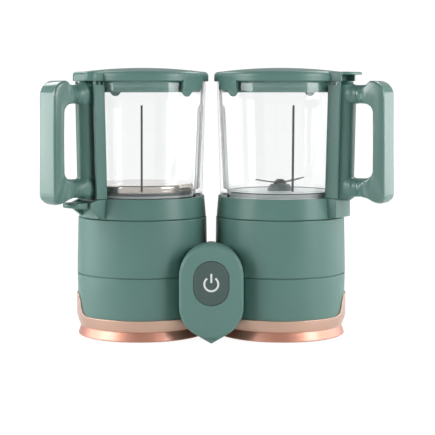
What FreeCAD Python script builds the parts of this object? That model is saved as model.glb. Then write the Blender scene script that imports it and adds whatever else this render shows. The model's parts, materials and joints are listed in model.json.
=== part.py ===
import FreeCAD, Part
import math
import os

import Sketcher
from FreeCAD import Placement, Rotation, Vector

# A two-base baby food maker: a steam jug on the left base, a blender jug on the right one.
# Millimetres, +Z up, the viewer in front looks along +Y. The origin lies on the table, midway between
# the axes of the two bases, under the bridge that joins them.

# Driving sizes: alias, millimetres or degrees, and what it is

SIZES = {
    "base_gap": (3.4, "middle plane to the widest part of each base"),
    "jug_gap": (2.8, "middle plane to the widest part of each jug"),
    "fit": (0.3, "gap between pieces that slide or come apart"),
    "seat": (0.15, "gap between pieces that stay together"),
    "running_fit": (0.05, "radial gap of a shaft or pin in its bore"),
    # feet, base plates and foot rings
    "foot_height": (2.6, "rubber foot under the base plate"),
    "foot_radius": (7.5, "rubber foot"),
    "foot_circle": (42, "base axis to a rubber foot"),
    "plate_thickness": (3, "base plate"),
    "vent_length": (18, "air slot in the base plate"),
    "vent_width": (4, "air slot in the base plate"),
    "vent_circle": (20, "base axis to the inner end of an air slot"),
    "screw_inset": (6, "base screw inside the hollow of the ring"),
    "screw_radius": (1.9, "shank of a base screw"),
    "screw_head_radius": (3.4, "head of a base screw"),
    "screw_head_height": (1.5, "head of a base screw"),
    "screw_length": (12, "shank of a base screw above its head"),
    "post_radius": (4, "screw post under the lower band"),
    "ring_bottom": (1, "table to the foot ring"),
    "ring_foot_round": (0.7, "rounding of the flared foot"),
    "ring_flare": (26, "hollow of the flared foot"),
    "ring_waist": (9.6, "height of the crease between the two tiers"),
    "ring_waist_depth": (2.7, "crease between the two tiers, inside the lower band"),
    "ring_step": (0.6, "overhang of the upper tier at the crease"),
    "ring_top": (21.4, "top of the ring away from its fin"),
    "ring_lip_wall": (1.4, "ring where it wraps the lower band"),
    "ring_bulge": (40, "swell of the upper tier"),
    "ring_depth": (7.3, "lower band's foot to the hollow of the ring"),
    "ring_lip": (2, "how far the ring wraps the lower band"),
    "fin_top": (41, "top of the fin on the outer side"),
    "fin_top_half": (16, "half the fin's flat top"),
    "fin_waist": (31, "height where the fin's edge turns"),
    "fin_waist_half": (26.5, "half the fin where its edge turns"),
    "fin_foot_half": (38, "half the fin where it meets the ring"),
    "fin_round": (13, "rounding of the fin's edge"),
    "fin_wall": (1, "fin at its top"),
    # base housings
    "band_bottom_radius": (63.3, "lower band where it enters the ring"),
    "band_top_radius": (64.2, "lower band at the seam"),
    "band_wall": (2.6, "lower band"),
    "band_flange": (10, "band's floor flange inside the hollow of the ring"),
    "seam_height": (61.2, "seam between band and upper housing"),
    "seam_gap": (0.7, "open seam between band and upper housing"),
    "spigot_depth": (6, "upper housing's spigot inside the band"),
    "housing_proud": (0.2, "upper housing beyond the band at the seam"),
    "housing_taper": (0.9, "how much narrower the housing is at its top"),
    "housing_top": (115.5, "top of the upper housing"),
    "housing_wall": (5.4, "upper housing at the seam"),
    "housing_edge": (0.8, "rounded edges of the housing"),
    "flange_width": (4, "flange that carries the deck"),
    "flange_thickness": (2.5, "flange that carries the deck"),
    "deck_thickness": (4, "deck plate"),
    "deck_rise": (0.5, "deck above the upper housing"),
    "locator_radius": (47, "raised ring that centres the jug"),
    "locator_wall": (3, "raised ring that centres the jug"),
    "locator_height": (2.6, "raised ring that centres the jug"),
    "deck_well": (22, "thickened middle of the deck"),
    "deck_well_depth": (3, "thickened middle of the deck"),
    # bridge and control pod
    "pod_radius": (30.6, "round ends of the drop"),
    "pod_high_centre": (64.2, "centre of the drop's upper round"),
    "pod_low_centre": (35.8, "centre of the drop's lower round"),
    "pod_tip": (4.8, "tip of the drop below its lower round"),
    "pod_front": (70, "face of the pod in front of the axes"),
    "pod_face_thickness": (3.6, "raised face plate"),
    "pod_face_inset": (0.5, "face plate inside the drop's outline"),
    "pod_face_chamfer": (1.5, "bevelled edge of the face plate"),
    "pod_back": (46, "back of the pod in front of the axes"),
    "pod_wall": (5, "wall round the pod's hollow"),
    "pod_floor": (54, "floor of the pod's hollow in front of the axes"),
    "bridge_back": (6, "back of the bridge behind the axes"),
    "bridge_bottom": (3, "underside of the bridge"),
    "bridge_drop": (5, "bridge below the top of the drop"),
    "bridge_front": (24, "front of the bridge's low part before the axes"),
    "bridge_step": (26, "height of the bridge's low part"),
    "bridge_foot_half": (2.2, "half width of the rubber strip"),
    "bridge_foot_front": (18, "front end of the rubber strip"),
    "bridge_foot_back": (4, "back end of the rubber strip"),
    "button_radius": (16.5, "round ends of the oval button"),
    "button_straight": (8.9, "straight sides of the oval button"),
    "button_height": (58, "centre of the button above the table"),
    "button_proud": (0.4, "button in front of the face plate"),
    "button_gap": (0.4, "gap round the button"),
    "button_flange": (1.6, "flange that keeps the button in"),
    "button_travel": (1.5, "push of the button"),
    "board_thickness": (1.6, "circuit boards"),
    "board_half_width": (18, "half width of the control board"),
    "board_half_height": (27, "half height of the control board"),
    "switch_half": (6, "half width of the push switch"),
    "switch_height": (3.8, "body of the push switch"),
    "plunger_radius": (3, "plunger of the push switch"),
    # connector and power board in the left base
    "connector_radius": (9, "pin of the cordless connector"),
    "connector_height": (6, "pin above the deck"),
    "connector_flange": (12, "flange of the connector in the deck"),
    "connector_flange_height": (2.5, "flange of the connector in the deck"),
    "power_half_length": (30, "half length of the power board"),
    "power_half_width": (22, "half width of the power board"),
    "spacer_height": (5.4, "spacers under the power board"),
    "spacer_radius": (3, "spacers under the power board"),
    "transformer_half": (11, "half width of the transformer"),
    "transformer_height": (18, "transformer"),
    "capacitor_radius": (6, "capacitor"),
    "capacitor_height": (15, "capacitor"),
    # motor and drive in the right base
    "motor_radius": (30, "motor can"),
    "motor_top": (82, "top of the motor can"),
    "motor_nose": (12, "bearing nose on the motor"),
    "motor_nose_top": (87, "top of the bearing nose"),
    "shaft_radius": (4, "motor shaft"),
    "shaft_bottom": (58, "bottom of the shaft's bore in the motor"),
    "cradle_wall": (3.8, "cradle round the motor"),
    "cradle_floor": (3.4, "floor of the cradle"),
    "cradle_height": (11, "wall of the cradle above its floor"),
    "fan_bottom": (89.5, "underside of the fan"),
    "fan_radius": (38, "cooling fan"),
    "fan_disc": (1.4, "fan's back plate"),
    "fan_height": (7, "fan over all"),
    "fan_hub": (8, "fan hub"),
    "fan_blade": (1.4, "thickness of a fan blade"),
    "fan_blades": (9, "number of fan blades"),
    "bush_radius": (9, "shaft bush in the deck"),
    "bush_wall": (4, "deck wall round the shaft bush"),
    "bush_bottom": (102, "underside of the shaft bush"),
    "drive_well": (16, "well round the drive coupling"),
    "drive_hub": (12, "hub of the drive coupling"),
    "drive_spigot": (6.4, "middle of the drive coupling's star"),
    "drive_height": (5.8, "star of the drive coupling above the deck"),
    "lobe_radius": (2.6, "lobe of the star"),
    "lobe_circle": (8.2, "coupling axis to a lobe"),
    "lobes": (6, "number of lobes"),
    "lobe_gap": (0.4, "gap round the star inside its socket"),
    # cord gland
    "gland_height": (33, "cord gland above the table"),
    "gland_radius": (5, "neck of the gland in the wall"),
    "gland_flange": (8, "flange of the gland outside the wall"),
    "gland_flange_thickness": (2.2, "flange of the gland"),
    "gland_nose": (6, "nose of the gland beyond its flange"),
    "gland_bore": (3.4, "way for the cord through the gland"),
    # jug collars
    "collar_flare": (1.7, "how much wider the collar is at its foot"),
    "lip_wall": (1.8, "collar's lip round the glass"),
    "collar_height": (20, "collar over all"),
    "collar_edge": (0.7, "rounded edges of the collar"),
    "collar_foot_wall": (8, "foot of the collar round the hollow under it"),
    "collar_recess_depth": (3.2, "hollow under the collar"),
    "collar_floor": (3, "floor of the collar"),
    "collar_hole": (15.5, "hole in the left collar's floor"),
    "drive_hole": (21, "hole in the right collar's floor, with room round the coupling"),
    "cavity_inset": (2.5, "room under the jug's floor, inside the dish"),
    "lip_depth": (4.8, "collar's lip above its shelf"),
    "boss_half": (15, "half width of the boss under the handle"),
    "boss_bottom": (1.3, "boss above the collar's foot"),
    "boss_top": (0.3, "boss below the collar's top"),
    "plain_boss_depth": (8.7, "right boss beyond the collar's top"),
    "lever_boss_depth": (16.7, "left boss beyond the collar's top"),
    "lever_boss_foot": (1.5, "foot of the left boss beyond the collar's foot"),
    "lever_boss_edge": (8.6, "upright edge at the top of the left boss"),
    # release lever
    "lever_half": (11, "half width of the lever"),
    "pin_offset": (9.7, "lever's pin beyond the collar's top"),
    "lever_hub": (3.6, "hub round the lever's pin"),
    "lever_length": (24.5, "lever from its pin to its tip"),
    "lever_tip_thickness": (4.6, "lever at its tip"),
    "lever_drop": (6.5, "collar's top to the lever's pin"),
    "lever_round": (8.5, "rounded corners of the paddle"),
    "pin_radius": (1.5, "lever pin"),
    "pin_half": (13.5, "half length of the lever pin"),
    "slot_gap": (0.6, "room round the lever in its slot"),
    # jug floor
    "floor_ledge": (3.9, "inner foot of the glass outside the dish"),
    "dish_top": (148.5, "top of the steel dish"),
    "dish_wall": (1.2, "sheet of the steel dish"),
    "dish_round": (2.4, "rounded rim of the steel dish"),
    "seal_thickness": (1.6, "seal under the glass"),
    "seal_gap": (1, "between the dish and the seal under the glass"),
    "element_radius": (34.5, "jug axis to the heating element"),
    "element_half": (3.5, "half width of the heating element"),
    "element_height": (6.2, "heating element under the dish"),
    "element_sweep": (320, "degrees of the open ring"),
    "socket_flange": (19, "flange of the jug's connector"),
    "socket_flange_height": (2.4, "flange of the jug's connector"),
    "hub_floor": (140.6, "floor of the blender jug"),
    "hub_radius": (10.8, "blade hub at the floor"),
    "hub_top_radius": (6.8, "blade hub at its top"),
    "hub_top": (147.2, "top of the blade hub"),
    "hub_round": (9, "dome of the blade hub"),
    "hub_tube": (9, "tube under the floor"),
    "hub_tube_bottom": (126, "underside of that tube"),
    "hub_bore": (5.6, "bore for the blade bush"),
    # blades
    "spindle_radius": (3, "blade shaft"),
    "spindle_top": (153, "top of the blade shaft"),
    "coupling_radius": (14.3, "driven coupling"),
    "coupling_roof": (2.2, "driven coupling above its socket"),
    "blade_thickness": (1.2, "blade sheet"),
    "blade_root": (8, "flat middle of a blade"),
    "blade_width": (9, "blade at its root"),
    "upper_blade_reach": (30, "shaft axis to the tip of an upper blade"),
    "upper_blade_rise": (3.2, "rise of an upper blade's tip"),
    "lower_blade_reach": (25, "shaft axis to the tip of a lower blade"),
    "lower_blade_drop": (4.6, "drop of a lower blade's tip"),
    "nut_radius": (4.6, "cap nut across its corners"),
    "nut_height": (3.6, "cap nut below its dome"),
    # glass jugs
    "glass_base_radius": (59.2, "glass at its foot"),
    "glass_top_radius": (62.8, "glass at its rim"),
    "glass_top": (248.9, "rim of the glass"),
    "glass_rim_wall": (4.3, "wall of the glass at its rim"),
    "glass_floor": (142.6, "inner foot of the glass"),
    "glass_foot_wall": (5.3, "wall of the glass at its foot"),
    "glass_cove": (3.4, "cove at the inner foot"),
    "rib_turn": (48, "degrees from the handle to a rib"),
    "rib_half": (1.1, "half width of a rib"),
    "rib_depth": (2.4, "rib inside the wall"),
    "rib_top": (226, "top of a rib"),
    # handles
    "left_turn": (222, "degrees from +X to the left handle"),
    "right_turn": (328, "degrees from +X to the right handle"),
    "bracket_half": (15, "half width of the bracket"),
    "bracket_flange": (2.6, "side flange of the bracket"),
    "bracket_depth": (10.85, "bracket from the glass to the edges of its flanges"),
    "column_radius": (10.4, "round column between the flanges"),
    "column_proud": (9.4, "column beyond the flanges"),
    "groove_depth": (8.5, "grooves between the column and the flanges"),
    "notch_width": (3.4, "notches in the top of the bracket"),
    "notch_depth": (3.2, "notches in the top of the bracket"),
    "notch_gap": (2, "between the two notches"),
    "arm_radius": (9, "round arms of the handle"),
    "upper_arm": (236.5, "centre of the upper arm"),
    "lower_arm": (147, "centre of the lower arm"),
    "stub_length": (13.7, "bracket's flanges to the seam in the arms"),
    "grip_reach": (31, "seam in the arms to the grip's outer face"),
    "grip_depth": (12.4, "grip from inner to outer face"),
    "grip_half": (12, "half width of the grip"),
    "grip_top": (249.4, "top of the grip"),
    "grip_corner": (14, "rounded top corner of the grip"),
    "grip_opening_round": (9, "rounded corners of the finger opening"),
    "grip_cove": (10, "cove between lower arm and tail"),
    "grip_tail_slope": (45, "degrees that the cove turns down"),
    "grip_round": (3.4, "rounded edges of the grip"),
    "grip_end_round": (10, "rounded lower end of the grip, seen from outside"),
    "grip_end_taper": (-10, "degrees at which this rounding runs out towards the arm"),
    "handle_screw_radius": (2.2, "screws inside the arms"),
    "handle_screw_head": (4.6, "heads of the screws inside the arms"),
    "handle_screw_gap": (3.1, "glass to the heads of the screws inside the arms"),
    "handle_screw_bite": (13.5, "screws inside the arms beyond the seam"),
    # lids
    "lid_overhang": (2.7, "lid beyond the rim of the glass"),
    "lid_height": (9.4, "side of the lid"),
    "lid_dome": (4.1, "crown of the lid above its side"),
    "lid_edge": (4.2, "rounded top edge of the lid"),
    "plug_gap": (0.74, "gap between the lid's plug and the glass"),
    "plug_depth": (10.6, "plug of the lid"),
    "plug_wall": (3, "plug of the lid"),
    "lid_wall": (3.4, "top of the lid"),
    "lid_seal_height": (4.6, "seal round the plug"),
    "tongue_half": (15.6, "half width of the tongue"),
    "tongue_overhang": (7.5, "tongue beyond the bracket's flanges"),
    "tongue_round": (8, "rounded corners of the tongue"),
    "tongue_height": (9, "tongue"),
    "lug_turn": (104.7, "degrees from the handle's side to a lug"),
    "lug_shift": (7.5, "degrees that both lugs are turned back"),
    "lug_sweep": (24.5, "degrees that a lug takes up"),
    "nub_turn": (97.5, "degrees from the handle's side to a nub"),
    "lug_proud": (1.1, "lug beyond the side of the lid"),
    "lug_depth": (8.6, "lug below the lid"),
    "nub_radius": (6.4, "half-round nub under a lug"),
}

LEFT_RUN, RIGHT_RUN = 1, -1


class Size:
    """A length, angle or number: its value now, and the sheet expression that gives it."""

    def __init__(self, value, text):
        self.value = value
        self.text = text

    def __add__(self, other):
        return join(self, "+", other, self.value + number(other))

    def __radd__(self, other):
        return join(other, "+", self, number(other) + self.value)

    def __sub__(self, other):
        return join(self, "-", other, self.value - number(other))

    def __rsub__(self, other):
        return join(other, "-", self, number(other) - self.value)

    def __mul__(self, other):
        return join(self, "*", other, self.value * number(other))

    __rmul__ = __mul__

    def __truediv__(self, other):
        return join(self, "/", other, self.value / number(other))

    def __neg__(self):
        return join(0, "-", self, -self.value)


def number(size):
    """The plain number of a size or of a number."""
    return size.value if isinstance(size, Size) else float(size)


def words(size):
    """The sheet expression of a size or of a number."""
    return size.text if isinstance(size, Size) else repr(float(size))


def join(first, sign, second, value):
    """The size that two others make."""
    return Size(value, f"({words(first)} {sign} {words(second)})")


def root(size):
    """Square root of a size."""
    return Size(math.sqrt(size.value), f"sqrt({size.text})")


def sine(angle):
    """Sine of an angle in degrees."""
    return Size(math.sin(math.radians(angle.value)), f"sin({angle.text} * 1 deg)")


def cosine(angle):
    """Cosine of an angle in degrees."""
    return Size(math.cos(math.radians(angle.value)), f"cos({angle.text} * 1 deg)")


def fixed(angle):
    """An angle that stays the same whatever the sizes."""
    return Size(angle, repr(angle))


def largest(first, second):
    """The larger of two sizes."""
    return Size(max(first.value, second.value), f"max({first.text}; {second.text})")


def leg(long_side, short_side):
    """The other leg of a right triangle."""
    return root(long_side * long_side - short_side * short_side)


doc = FreeCAD.newDocument("baby_food_maker")
sheet = doc.addObject("Spreadsheet::Sheet", "sizes")
for row, (alias, (amount, meaning)) in enumerate(SIZES.items(), start=1):
    sheet.set(f"A{row}", alias)
    sheet.set(f"B{row}", str(amount))
    sheet.setAlias(f"B{row}", alias)
    sheet.set(f"C{row}", meaning)
doc.recompute()


class Driving:
    """Every driving size by its alias."""


d = Driving()
for alias in SIZES:
    setattr(d, alias, Size(float(sheet.get(alias)), f"sizes.{alias}"))


# Shared ways of making a piece


def bind(thing, prop, size):
    """Tie a property to the sheet."""
    if isinstance(size, Size):
        thing.setExpression(prop, size.text)
    else:
        setattr(thing, prop, size)


def new_body(label):
    """An empty body with the name of its piece."""
    body = doc.addObject("PartDesign::Body", label)
    body.Label = label
    return body


def origin_plane(body, role):
    """One of the body's own origin planes."""
    return next(plane for plane in body.Origin.OriginFeatures if plane.Role == role)


def new_sketch(body, plane, lift=None, turn=None):
    """A sketch on an origin plane, moved along its normal and turned about the upright axis."""
    sketch = body.newObject("Sketcher::SketchObject", "profile")
    sketch.AttachmentSupport = [(origin_plane(body, plane + "_Plane"), "")]
    sketch.MapMode = "FlatFace"
    upright = Vector(0, 0, 1) if plane == "XY" else Vector(0, 1, 0)
    if turn is not None:
        sketch.AttachmentOffset = Placement(Vector(), Rotation(upright, 1))
        sketch.setExpression("AttachmentOffset.Rotation.Angle", turn.text)
    if lift is not None and turn is None:
        sketch.setExpression("AttachmentOffset.Base.z", words(lift))
    if lift is not None and turn is not None:
        sketch.setExpression("AttachmentOffset.Base.x", (lift * sine(turn)).text)
        sketch.setExpression("AttachmentOffset.Base.z", (lift * cosine(turn)).text)
    return sketch


def pin_down(sketch, kind, shape, spot, size):
    """Tie one coordinate of a point to the sheet."""
    index = sketch.addConstraint(Sketcher.Constraint(kind, -1, 1, shape, spot, number(size)))
    if isinstance(size, Size):
        sketch.setExpression(f"Constraints[{index}]", size.text)


def arc_between(start, end, radius, side):
    """Arc under a half circle from start to end, whose centre lies on the left or right of the run."""
    run = end - start
    half = run.Length / 2
    across = Vector(-run.y, run.x, 0).normalize() * side
    centre = start + run * 0.5 + across * math.sqrt(max(radius * radius - half * half, 0))
    first, last = (start, end) if side == LEFT_RUN else (end, start)
    angles = [math.atan2(point.y - centre.y, point.x - centre.x) for point in (first, last)]
    return Part.ArcOfCircle(Part.Circle(centre, Vector(0, 0, 1), radius), *angles)


def outline(sketch, corners):
    """A closed outline. A corner is (x, y), and (x, y, radius, side) starts an arc to the next one."""
    ends = []
    points = [Vector(number(corner[0]), number(corner[1]), 0) for corner in corners]
    for corner, start, end in zip(corners, points, points[1:] + points[:1]):
        if len(corner) == 2:
            ends.append((sketch.addGeometry(Part.LineSegment(start, end)), 1, 2))
            continue
        radius, side = corner[2:]
        shape = sketch.addGeometry(arc_between(start, end, number(radius), side))
        ends.append((shape, 1, 2) if side == LEFT_RUN else (shape, 2, 1))
        index = sketch.addConstraint(Sketcher.Constraint("Radius", shape, number(radius)))
        if isinstance(radius, Size):
            sketch.setExpression(f"Constraints[{index}]", radius.text)
    for (shape, first, last), (following, start, end) in zip(ends, ends[1:] + ends[:1]):
        sketch.addConstraint(Sketcher.Constraint("Coincident", shape, last, following, start))
    for corner, (shape, first, last) in zip(corners, ends):
        pin_down(sketch, "DistanceX", shape, first, corner[0])
        pin_down(sketch, "DistanceY", shape, first, corner[1])


def circle(sketch, x, y, radius):
    """A circle tied to the sheet by its centre and radius."""
    spot = Vector(number(x), number(y), 0)
    shape = sketch.addGeometry(Part.Circle(spot, Vector(0, 0, 1), number(radius)))
    pin_down(sketch, "DistanceX", shape, 3, x)
    pin_down(sketch, "DistanceY", shape, 3, y)
    index = sketch.addConstraint(Sketcher.Constraint("Radius", shape, number(radius)))
    sketch.setExpression(f"Constraints[{index}]", words(radius))


def revolve(body, corners, plane="XZ", turn=None, sweep=360):
    """Turn an outline of (radius, height) corners about the upright axis."""
    sketch = new_sketch(body, plane, turn=turn)
    outline(sketch, corners)
    feature = body.newObject("PartDesign::Revolution", "turned")
    feature.Profile = sketch
    feature.ReferenceAxis = (sketch, ["V_Axis"])
    feature.Midplane = isinstance(sweep, Size)
    bind(feature, "Angle", sweep)
    return feature


def pad(body, sketch, length, symmetric=False, backwards=False):
    """Raise a sketch into a solid."""
    feature = body.newObject("PartDesign::Pad", "raised")
    feature.Profile = sketch
    feature.SideType = "Symmetric" if symmetric else "One side"
    feature.Reversed = backwards
    bind(feature, "Length", length)
    return feature


def pocket(body, sketch, length=None, symmetric=False, backwards=False):
    """Cut a sketch out of the body, right through where no length is given."""
    doc.recompute()
    before = body.Shape.Volume
    feature = body.newObject("PartDesign::Pocket", "cut")
    feature.Profile = sketch
    feature.SideType = "Symmetric" if symmetric else "One side"
    feature.Reversed = backwards
    if length is None:
        feature.Type = "ThroughAll"
    else:
        bind(feature, "Length", length)
    doc.recompute()
    if body.Shape.Volume >= before:
        raise RuntimeError(f"a cut in {body.Label} removes nothing")
    return feature


def drill(body, plane, lift, spots, radius, **ways):
    """Round holes, all of one radius, at the given places of a plane."""
    sketch = new_sketch(body, plane, lift=lift)
    for x, y in spots:
        circle(sketch, x, y, radius)
    return pocket(body, sketch, **ways)


def mirror(body, feature, plane):
    """The same feature on the other side of an origin plane."""
    doc.recompute()
    copy = body.newObject("PartDesign::Mirrored", "other_side")
    copy.Originals = [feature]
    copy.MirrorPlane = (origin_plane(body, plane + "_Plane"), [""])
    body.Tip = copy
    return copy


def ring_of(body, feature, count):
    """The same feature again and again round the upright axis."""
    doc.recompute()
    copies = body.newObject("PartDesign::PolarPattern", "round_about")
    copies.Originals = [feature]
    copies.Axis = (next(axis for axis in body.Origin.OriginFeatures if axis.Role == "Z_Axis"), [""])
    copies.Angle = 360
    bind(copies, "Occurrences", count)
    body.Tip = copies
    return copies


def soften(body, size, wanted, kind="Fillet"):
    """Round or bevel the edges of the last feature that the test accepts."""
    doc.recompute()
    base = body.Tip
    names = [f"Edge{i}" for i, edge in enumerate(base.Shape.Edges, start=1) if wanted(edge)]
    feature = body.newObject("PartDesign::" + kind, "softened")
    feature.Base = (base, names)
    bind(feature, "Radius" if kind == "Fillet" else "Size", size)
    return feature


def place(thing, x, turn):
    """Stand a piece on its base's axis, turned about that axis."""
    thing.Placement = Placement(Vector(number(x), 0, 0), Rotation(Vector(0, 0, 1), 1))
    thing.setExpression("Placement.Base.x", words(x))
    thing.setExpression("Placement.Rotation.Angle", words(turn))


def copies_of(label, original, placements):
    """One node of separate solids: a piece of fixing hardware at each of its places."""
    doc.recompute()
    node = doc.addObject("Part::Feature", label)
    node.Label = label
    solids = []
    for spot in placements:
        solid = original.Shape.copy()
        solid.Placement = spot.multiply(solid.Placement)
        solids.append(solid)
    node.Shape = Part.makeCompound(solids)
    node.Placement = Placement()
    return node


def stadium(sketch, radius, low, high):
    """An upright outline with two round ends about the given centres."""
    outline(sketch, [
        (radius, low), (radius, high, radius, LEFT_RUN), (0.0, high + radius, radius, LEFT_RUN),
        (-radius, high), (-radius, low, radius, LEFT_RUN), (0.0, low - radius, radius, LEFT_RUN),
    ])


def along(value, start, end, from_value, to_value):
    """The height on a straight line between two points, at a value between theirs."""
    return from_value + (to_value - from_value) * (value - start) / (end - start)


# Heights and radii that several pieces share

plate_top = d.foot_height + d.plate_thickness
ring_bore = d.band_bottom_radius - d.ring_depth
screw_circle = ring_bore - d.screw_inset
band_bottom = d.ring_top - d.ring_lip
band_top = d.seam_height - d.seam_gap / 2
housing_bottom = d.seam_height + d.seam_gap / 2
housing_bottom_radius = d.band_top_radius + d.housing_proud
housing_top_radius = housing_bottom_radius - d.housing_taper
deck_top = d.housing_top + d.deck_rise
deck_bottom = deck_top - d.deck_thickness
well_bottom = deck_bottom - d.deck_well_depth
collar_bottom = deck_top + d.fit
collar_top = collar_bottom + d.collar_height
collar_ceiling = collar_bottom + d.collar_recess_depth
collar_floor_top = collar_ceiling + d.collar_floor
shelf = collar_top - d.lip_depth
rim_top = shelf + d.dish_wall
glass_bottom = rim_top + d.seal_thickness
glass_floor_radius = d.glass_base_radius - d.glass_foot_wall
dish_radius = glass_floor_radius - d.floor_ledge
rim_radius = d.glass_base_radius - d.fit * 2
glass_hole = dish_radius + d.fit
lip_bore = d.glass_base_radius + d.fit
collar_top_radius = lip_bore + d.lip_wall
collar_bottom_radius = collar_top_radius + d.collar_flare
lid_bottom = d.glass_top + d.fit
drive_top = deck_top + d.drive_height
socket_top = drive_top + d.lobe_gap
coupling_top = socket_top + d.coupling_roof
lever_height = collar_top - d.lever_drop
lever_pivot = collar_top_radius + d.pin_offset
lever_boss_top = collar_top_radius + d.lever_boss_depth
bracket_bottom = collar_top
bracket_top = lid_bottom - d.fit
face_back = d.pod_front - d.pod_face_thickness


def glass_radius(height):
    """Outside of the tapered glass at a height."""
    return along(height, glass_bottom, d.glass_top, d.glass_base_radius, d.glass_top_radius)


def glass_inside(height):
    """Inside of the tapered glass at a height."""
    rim = d.glass_top_radius - d.glass_rim_wall
    return along(height, d.glass_floor, d.glass_top, glass_floor_radius, rim)


def band_radius(height):
    """Outside of the lower band at a height."""
    return along(height, band_bottom, band_top, d.band_bottom_radius, d.band_top_radius)


def bracket_reach(height):
    """Jug axis to the edges of the bracket's flanges at a height."""
    return glass_radius(height) + d.seat + d.bracket_depth


ring_lip_radius = band_radius(d.ring_top) + d.seat + d.ring_lip_wall
base_radius = largest(ring_lip_radius, housing_bottom_radius)
scoop_radius = base_radius + d.fit
arm_seam = bracket_reach(bracket_top) + d.stub_length
grip_outer = arm_seam + d.grip_reach
handle_screw_start = largest(glass_radius(d.upper_arm), glass_radius(d.lower_arm)) + d.handle_screw_gap
handle_screw_end = arm_seam + d.handle_screw_bite
plug_radius = glass_inside(d.glass_top - d.plug_depth) - d.plug_gap
lid_radius = d.glass_top_radius + d.lid_overhang
jug_radius = largest(lid_radius, collar_bottom_radius)
axis_offset = largest(base_radius + d.base_gap, jug_radius + d.jug_gap)
SIDES = {"left": (-axis_offset, d.left_turn), "right": (axis_offset, d.right_turn)}
OUTWARD = {"left": 180, "right": 0}


# Bases


def foot_ring(side):
    """Copper ring in two tiers, with a fin that climbs the outer side of the base."""
    body = new_body(side + "_foot_ring")
    foot_radius = d.band_bottom_radius
    waist_radius = foot_radius - d.ring_waist_depth
    fin_radius = band_radius(d.fin_top) + d.seat + d.fin_wall
    revolve(body, [
        (ring_bore + d.foot_height, d.ring_bottom),
        (foot_radius - d.ring_foot_round, d.ring_bottom, d.ring_foot_round, LEFT_RUN),
        (foot_radius, d.ring_bottom + d.ring_foot_round, d.ring_flare, RIGHT_RUN),
        (waist_radius, d.ring_waist),
        (waist_radius + d.ring_step, d.ring_waist + d.ring_step, d.ring_bulge, LEFT_RUN),
        (ring_lip_radius, d.ring_top),
        (fin_radius, d.fin_top),
        (band_radius(d.fin_top) + d.seat, d.fin_top),
        (d.band_bottom_radius + d.seat, band_bottom),
        (ring_bore, band_bottom),
        (ring_bore, plate_top),
        (ring_bore + d.foot_height, plate_top),
    ])
    far = largest(ring_lip_radius, fin_radius) + d.fin_round
    above = d.fin_top + d.fin_round
    inner = new_sketch(body, "YZ")
    outline(inner, [(-far, d.ring_top), (far, d.ring_top), (far, above), (-far, above)])
    pocket(body, inner)
    outer = new_sketch(body, "YZ")
    outline(outer, [
        (-far, d.ring_top), (-d.fin_foot_half, d.ring_top, d.fin_round, LEFT_RUN),
        (-d.fin_waist_half, d.fin_waist, d.fin_round, RIGHT_RUN), (-d.fin_top_half, d.fin_top),
        (d.fin_top_half, d.fin_top, d.fin_round, RIGHT_RUN),
        (d.fin_waist_half, d.fin_waist, d.fin_round, LEFT_RUN), (d.fin_foot_half, d.ring_top),
        (far, d.ring_top), (far, above), (-far, above),
    ])
    pocket(body, outer, backwards=True)
    place(body, SIDES[side][0], OUTWARD[side])
    return body


def screw_spots(circle_radius, start):
    """Three places evenly round the base's axis."""
    turns = [fixed(start + 120 * i) for i in range(3)]
    return [(circle_radius * cosine(turn), circle_radius * sine(turn)) for turn in turns]


def lower_band(side):
    """Lower wall of a base, with a floor flange and screw posts."""
    body = new_body(side + "_lower_band")
    inner = ring_bore - d.band_flange
    revolve(body, [
        (inner, band_bottom), (d.band_bottom_radius, band_bottom),
        (d.band_top_radius, band_top), (d.band_top_radius - d.band_wall / 2, band_top),
        (d.band_top_radius - d.band_wall / 2, housing_bottom),
        (d.band_top_radius - d.band_wall, housing_bottom),
        (d.band_bottom_radius - d.band_wall, band_bottom + d.band_wall),
        (inner, band_bottom + d.band_wall),
    ])
    posts = new_sketch(body, "XY", lift=plate_top)
    for x, y in screw_spots(screw_circle, 60.0):
        circle(posts, x, y, d.post_radius)
    pad(body, posts, band_bottom + d.band_wall - plate_top)
    drill(body, "XY", plate_top, screw_spots(screw_circle, 60.0), d.screw_radius + d.running_fit,
          length=d.screw_length, backwards=True)
    if side == "right":
        drill(body, "XZ", None, [(0.0, d.gland_height)], d.gland_radius + d.seat, backwards=False)
    place(body, SIDES[side][0], OUTWARD[side])
    return body


def upper_housing(side):
    """Upper wall of a base, with a spigot in the lower band and a flange for the deck."""
    body = new_body(side + "_upper_housing")
    edge = d.housing_edge
    spigot = band_radius(housing_bottom - d.spigot_depth) - d.band_wall - d.seat
    bore = housing_bottom_radius - d.housing_wall
    flange_bore = bore - d.flange_width
    deck_bore = housing_top_radius - d.band_wall
    flange_bottom = deck_bottom - d.flange_thickness
    revolve(body, [
        (bore, housing_bottom - d.spigot_depth), (spigot, housing_bottom - d.spigot_depth),
        (spigot, housing_bottom), (housing_bottom_radius - edge, housing_bottom, edge, LEFT_RUN),
        (housing_bottom_radius, housing_bottom + edge),
        (housing_top_radius, d.housing_top - edge, edge, LEFT_RUN),
        (housing_top_radius - edge, d.housing_top),
        (deck_bore, d.housing_top), (deck_bore, deck_bottom), (flange_bore, deck_bottom),
        (flange_bore, flange_bottom), (bore, flange_bottom),
    ])
    place(body, SIDES[side][0], OUTWARD[side])
    return body


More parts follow.
